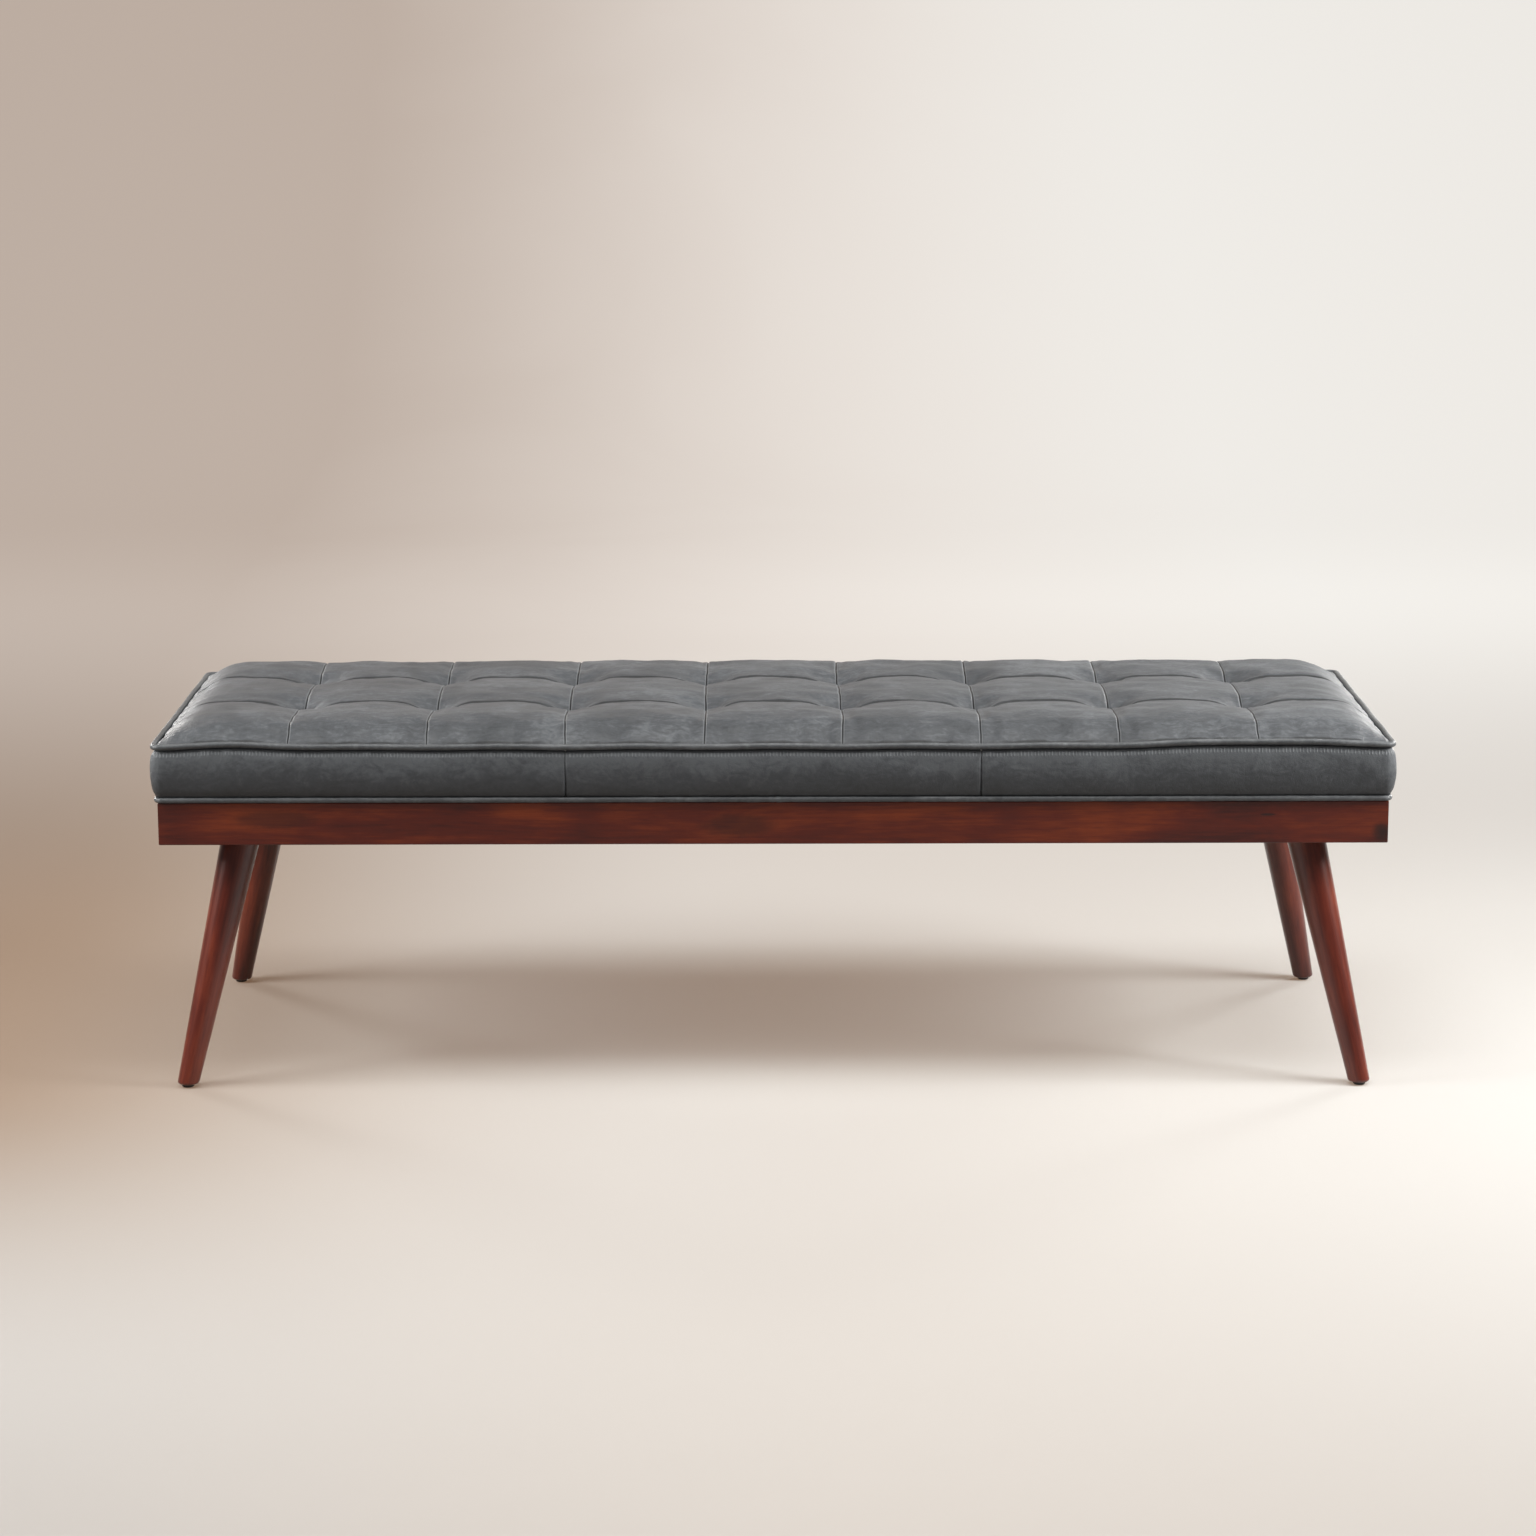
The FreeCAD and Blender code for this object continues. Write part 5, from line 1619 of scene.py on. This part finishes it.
@dataclass
class Fittings:
    """Finishes for the pieces that keep their CAD shape."""

    splay: float = math.radians(12.4)
    front_face: float = -0.246

    def leg_turn(self, side_x: int, side_y: int) -> Triple:
        """Turn that lays a leg's axis along the grain's X direction.

        Args:
            side_x: Side of the leg along X.
            side_y: Side of the leg along Y.

        Returns:
            Rotation about X, Y and Z.
        """
        slope = math.tan(self.splay)
        axis = Vector((side_x * slope, side_y * slope, -1)).normalized()
        turn = axis.rotation_difference(Vector((1, 0, 0)))
        return tuple(turn.to_euler("XYZ"))

    def paint(
        self,
        nodes: list[str],
        finish: WoodFinish | PlainFinish | LeatherFinish,
    ) -> None:
        """Give CAD nodes a finish.

        Args:
            nodes: Their names.
            finish: The finish.
        """
        material = finish.build()
        for node in nodes:
            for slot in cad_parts[node].material_slots:
                slot.material = material
            LOG.info("painted %s with %s", node, material.name)

    def marks(self) -> tuple[Mark, ...]:
        """Knot, streak, stain and cloud on the front rail's face."""
        y = self.front_face
        return (
            Mark((0.7475, y, 0.3175), (0.018, 1.0, 0.018), 0.92, rings=6.0),
            Mark((0.606, y, 0.340), (0.014, 1.0, 0.0022), 0.8),
            Mark((-0.043, y, 0.3275), (0.06, 1.0, 0.02), 0.5),
            Mark((-0.61, y, 0.336), (0.07, 1.0, 0.016), 0.45),
        )

    def stained(self) -> None:
        """Finish the frame rails and the legs."""
        front = WoodFinish("front_rail_finish", marks=self.marks())
        self.paint(["front_rail"], front)
        self.paint(["rear_rail"], WoodFinish("rear_rail_finish"))
        ends = WoodFinish("end_rail_finish", turn=(0, 0, math.pi / 2))
        self.paint(["left_end_rail", "right_end_rail"], ends)
        for corner, (side_x, side_y) in CORNERS.items():
            wood = WoodFinish(
                f"leg_{corner}_finish",
                turn=self.leg_turn(side_x, side_y),
                dark=shade(70, 24, 17), middle=shade(103, 40, 27),
                light=shade(136, 60, 38), roughness=0.32, coat=0.4,
            )
            self.paint([f"leg_{corner}"], wood)

    def unfinished(self) -> None:
        """Finish the wood that doesn't show."""
        raw = WoodFinish(
            "raw_wood_finish",
            dark=shade(176, 140, 100), middle=shade(198, 164, 122),
            light=shade(214, 184, 144), coat=0.0, roughness=0.7,
        )
        blocks = [f"corner_block_{corner}" for corner in CORNERS]
        rails = ["left_cross_rail", "middle_cross_rail", "right_cross_rail"]
        self.paint([*blocks, *rails, "cross_rail_dowels"], raw)
        ply = PlainFinish(
            "plywood_finish", shade(196, 166, 124), shade(210, 184, 146),
            0.7, stretch=(0.1, 1, 6),
        )
        self.paint(["seat_deck"], ply)

    def metal_and_plastic(self) -> None:
        """Finish bolts, screws, inserts, glides and buttons."""
        steel = PlainFinish(
            "zinc_steel_finish", shade(168, 170, 172), shade(190, 190, 188),
            0.3, metallic=1.0, scale=300,
        )
        screws = ["corner_block_screws", "deck_screws"]
        self.paint(["hanger_bolts", *screws, "glide_nails"], steel)
        brass = PlainFinish(
            "brass_finish", shade(196, 158, 92), shade(212, 178, 110),
            0.3, metallic=1.0, scale=300,
        )
        self.paint(["threaded_inserts"], brass)
        plastic = PlainFinish(
            "black_plastic_finish", shade(22, 22, 23), shade(34, 34, 35),
            0.45, scale=900, relief=0.0001,
        )
        glides = [f"glide_{corner}" for corner in CORNERS]
        self.paint([*glides, "tie_buttons"], plastic)

    def filling(self) -> None:
        """Finish foam, wadding, twine and the cover's hem."""
        foam = PlainFinish(
            "foam_finish", shade(232, 220, 184), shade(222, 208, 168),
            0.9, scale=1400, relief=0.001,
        )
        wadding = PlainFinish(
            "wadding_finish", shade(236, 236, 232), shade(220, 220, 216),
            0.95, scale=260, relief=0.002,
        )
        twine = PlainFinish(
            "twine_finish", shade(224, 220, 208), shade(196, 190, 176),
            0.8, scale=1500, stretch=(1, 1, 0.3),
        )
        hem = LeatherFinish(
            "hem_leather_finish", Panel.PIPING,
            shade(66, 70, 73), shade(80, 84, 87), shade(98, 102, 105),
        )
        self.paint(["foam_core"], foam)
        self.paint(["wadding_wrap"], wadding)
        self.paint(["tuft_ties"], twine)
        self.paint(["cover_hem"], hem)


@dataclass(frozen=True)
class Lamp:
    """A soft rectangular lamp."""

    name: str
    place: Triple
    target: Triple
    size: Span
    watts: float
    spread: float = math.pi
    color: Triple = (1.0, 0.98, 0.95)

    def build(self) -> None:
        """Hang the lamp and aim it."""
        data = bpy.data.lights.new(self.name, "AREA")
        data.shape = "RECTANGLE"
        data.size, data.size_y = self.size
        data.energy = self.watts
        data.color = self.color
        data.spread = self.spread
        lamp = bpy.data.objects.new(self.name, data)
        lamp.location = self.place
        aim = Vector(self.target) - Vector(self.place)
        lamp.rotation_euler = aim.to_track_quat("-Z", "Y").to_euler()
        bpy.context.scene.collection.objects.link(lamp)


@dataclass
class Studio:
    """Floor, backdrop, lamps and camera."""

    bounce: Color = shade(115, 109, 106)
    paper: Color = shade(175, 179, 180)
    # Colour and reach of a painted shadow on the floor's left.
    painted_shadow: Color = shade(122, 110, 98)
    painted_shadow_left: Span = (-0.05, -1.1)
    painted_shadow_front: Span = (7.6, 8.75)
    painted_shadow_back: Span = (12.6, 9.4)
    side_pace: float = 0.42
    wall_fade: Span = (9.2, 12.8)
    # Colours of the backdrop's glow from left to right, near the bench and on the
    # wall; the glow is painted light.
    near_stops: tuple = (
        (0.0, shade(78, 50, 30)), (0.5, shade(139, 112, 88)),
        (1.0, shade(112, 92, 76)),
    )
    far_stops: tuple = (
        (0.0, shade(150, 127, 110)), (0.5, shade(210, 199, 190)),
        (1.0, shade(220, 217, 212)),
    )
    near: float = -9.0
    bend_at: float = 4.7
    bend_radius: float = 3.0
    wall_height: float = 6.0
    half_width: float = 11.0
    overhead: Lamp = Lamp(
        "overhead_lamp", (0.3, -1.3, 6.0), (0.1, 0, 0.3), (5.0, 2.8), 255
    )
    right: Lamp = Lamp(
        "right_lamp", (2.2, -0.5, 1.35), (0.4, 0, 0.4), (0.9, 1.0), 56
    )
    left: Lamp = Lamp(
        "left_lamp", (-2.15, -0.5, 1.3), (-0.4, 0, 0.4), (0.9, 1.0), 37
    )
    rim_left: Lamp = Lamp(
        "rim_lamp_left", (-2.1, 1.7, 1.15), (-0.6, 0, 0.4), (0.7, 0.9), 2.6, 0.8
    )
    rim_right: Lamp = Lamp(
        "rim_lamp_right", (2.1, 1.7, 1.15), (0.6, 0, 0.4), (0.7, 0.9), 2.6, 0.8
    )
    world_color: Color = (1.0, 0.97, 0.94, 1.0)
    world_strength: float = 0.14
    lens: float = 91.85
    sensor: float = 36.0
    camera_place: Triple = (-0.0155, -4.9371, 1.3664)
    pitch: float = math.radians(11.648)
    yaw: float = math.radians(0.110)
    roll: float = math.radians(-0.098)

    def backdrop_finish(self) -> bpy.types.Material:
        """Warm painted paper that throws little light back.

        Its glow is painted light, paler on the right and on the wall, and a painted
        shadow darkens the paper on the floor's left.

        Returns:
            The material.
        """
        recipe = Recipe("backdrop_finish")
        across, run, _ = recipe.axes(recipe.pattern())
        cloud = recipe.noise(recipe.place(), 0.8, distortion=0.6)
        # Painted light: a glow seen by the camera and in reflections, dim on the
        # floor's left and paler to the right and on the wall, in place of how the
        # lamps' light falls across the stage.
        share = across * self.side_pace + 0.5 + (cloud - 0.5) * 0.12
        near = recipe.ramp(share, self.near_stops, soft=True)
        far = recipe.ramp(share, self.far_stops, soft=True)
        glow = recipe.blend(run.step(*self.wall_fade), near, far)
        light = recipe.add("ShaderNodeLightPath")
        seen = Value(recipe, light.outputs["Is Camera Ray"])
        for kind in ("Is Glossy Ray", "Is Transmission Ray"):
            seen = recipe.math("MAXIMUM", seen, Value(recipe, light.outputs[kind]))
        # Painted shadow: the paper turns darker on the floor's left, from just before
        # the bench back towards the wall.
        painted_shadow_share = across.step(*self.painted_shadow_left) * run.step(*self.painted_shadow_front)
        painted_shadow_share = painted_shadow_share * run.step(*self.painted_shadow_back)
        paper = recipe.blend(painted_shadow_share, self.paper, self.painted_shadow)
        return recipe.finish(
            {
                "Base Color": recipe.blend(seen, self.bounce, paper),
                "Roughness": 0.9,
                "Specular IOR Level": 0.1,
                "Emission Color": recipe.blend(seen, (0, 0, 0, 1), glow),
                "Emission Strength": 1.0,
            }
        )

    def backdrop(self) -> bpy.types.Object:
        """Make the floor and the wall that it bends into.

        Returns:
            The stage.
        """
        mesh, share_x, run = Sheet("studio_backdrop", 4, 120).make()
        bend = math.pi / 2 * self.bend_radius
        flat = self.bend_at - self.near
        distance = run * (flat + bend + self.wall_height)
        angle = np.clip((distance - flat) / self.bend_radius, 0, math.pi / 2)
        y = self.near + np.minimum(distance, flat) + self.bend_radius * np.sin(angle)
        z = self.bend_radius * (1 - np.cos(angle))
        z += np.clip(distance - flat - bend, 0, None)
        x = (share_x * 2 - 1) * self.half_width
        lay_out(mesh, np.column_stack((x, y, z)), np.column_stack((x, distance)))
        paper = show(mesh, self.backdrop_finish())
        return paper

    def lamps(self) -> None:
        """Light the bench softly from above and from both sides."""
        for lamp in (
            self.overhead, self.right, self.left, self.rim_left, self.rim_right
        ):
            lamp.build()
        world = bpy.data.worlds.new("studio_world")
        world.use_nodes = True
        background = world.node_tree.nodes["Background"]
        background.inputs["Color"].default_value = self.world_color
        background.inputs["Strength"].default_value = self.world_strength
        bpy.context.scene.world = world

    def camera(self) -> None:
        """Stand the camera where the photograph was taken from."""
        data = bpy.data.cameras.new("photo_camera")
        data.lens = self.lens
        data.sensor_width = self.sensor
        camera = bpy.data.objects.new("photo_camera", data)
        turn = (
            Matrix.Rotation(-self.yaw, 4, "Z")
            @ Matrix.Rotation(math.pi / 2 - self.pitch, 4, "X")
            @ Matrix.Rotation(self.roll, 4, "Z")
        )
        camera.matrix_world = Matrix.Translation(self.camera_place) @ turn
        bpy.context.scene.collection.objects.link(camera)
        bpy.context.scene.camera = camera
        bpy.context.scene.view_settings.view_transform = "Standard"


def main() -> None:
    """Build the pieces in order and report each one."""
    logging.basicConfig(level=logging.INFO, format="%(name)s: %(message)s")
    cushion = Cushion.of_frame()
    boxing = Boxing(cushion)
    cover = DustCover()
    made = [TuftedTop(cushion).build()]
    for node, (start, end) in boxing.pieces().items():
        made.append(boxing.build(node, start, end))
    made += [
        Piping("top_piping", cushion, join_at=2.0, lift_share=1.0).build(),
        Piping("bottom_piping", cushion, join_at=0.0023, lift_share=0.0).build(),
        cover.cloth(),
        cover.staples(),
    ]
    for piece in made:
        LOG.info("%s: %d faces", piece.name, len(piece.data.polygons))
    fittings = Fittings()
    fittings.stained()
    fittings.unfinished()
    fittings.metal_and_plastic()
    fittings.filling()
    studio = Studio()
    studio.backdrop()
    studio.lamps()
    studio.camera()


if __name__ == "__main__":
    main()
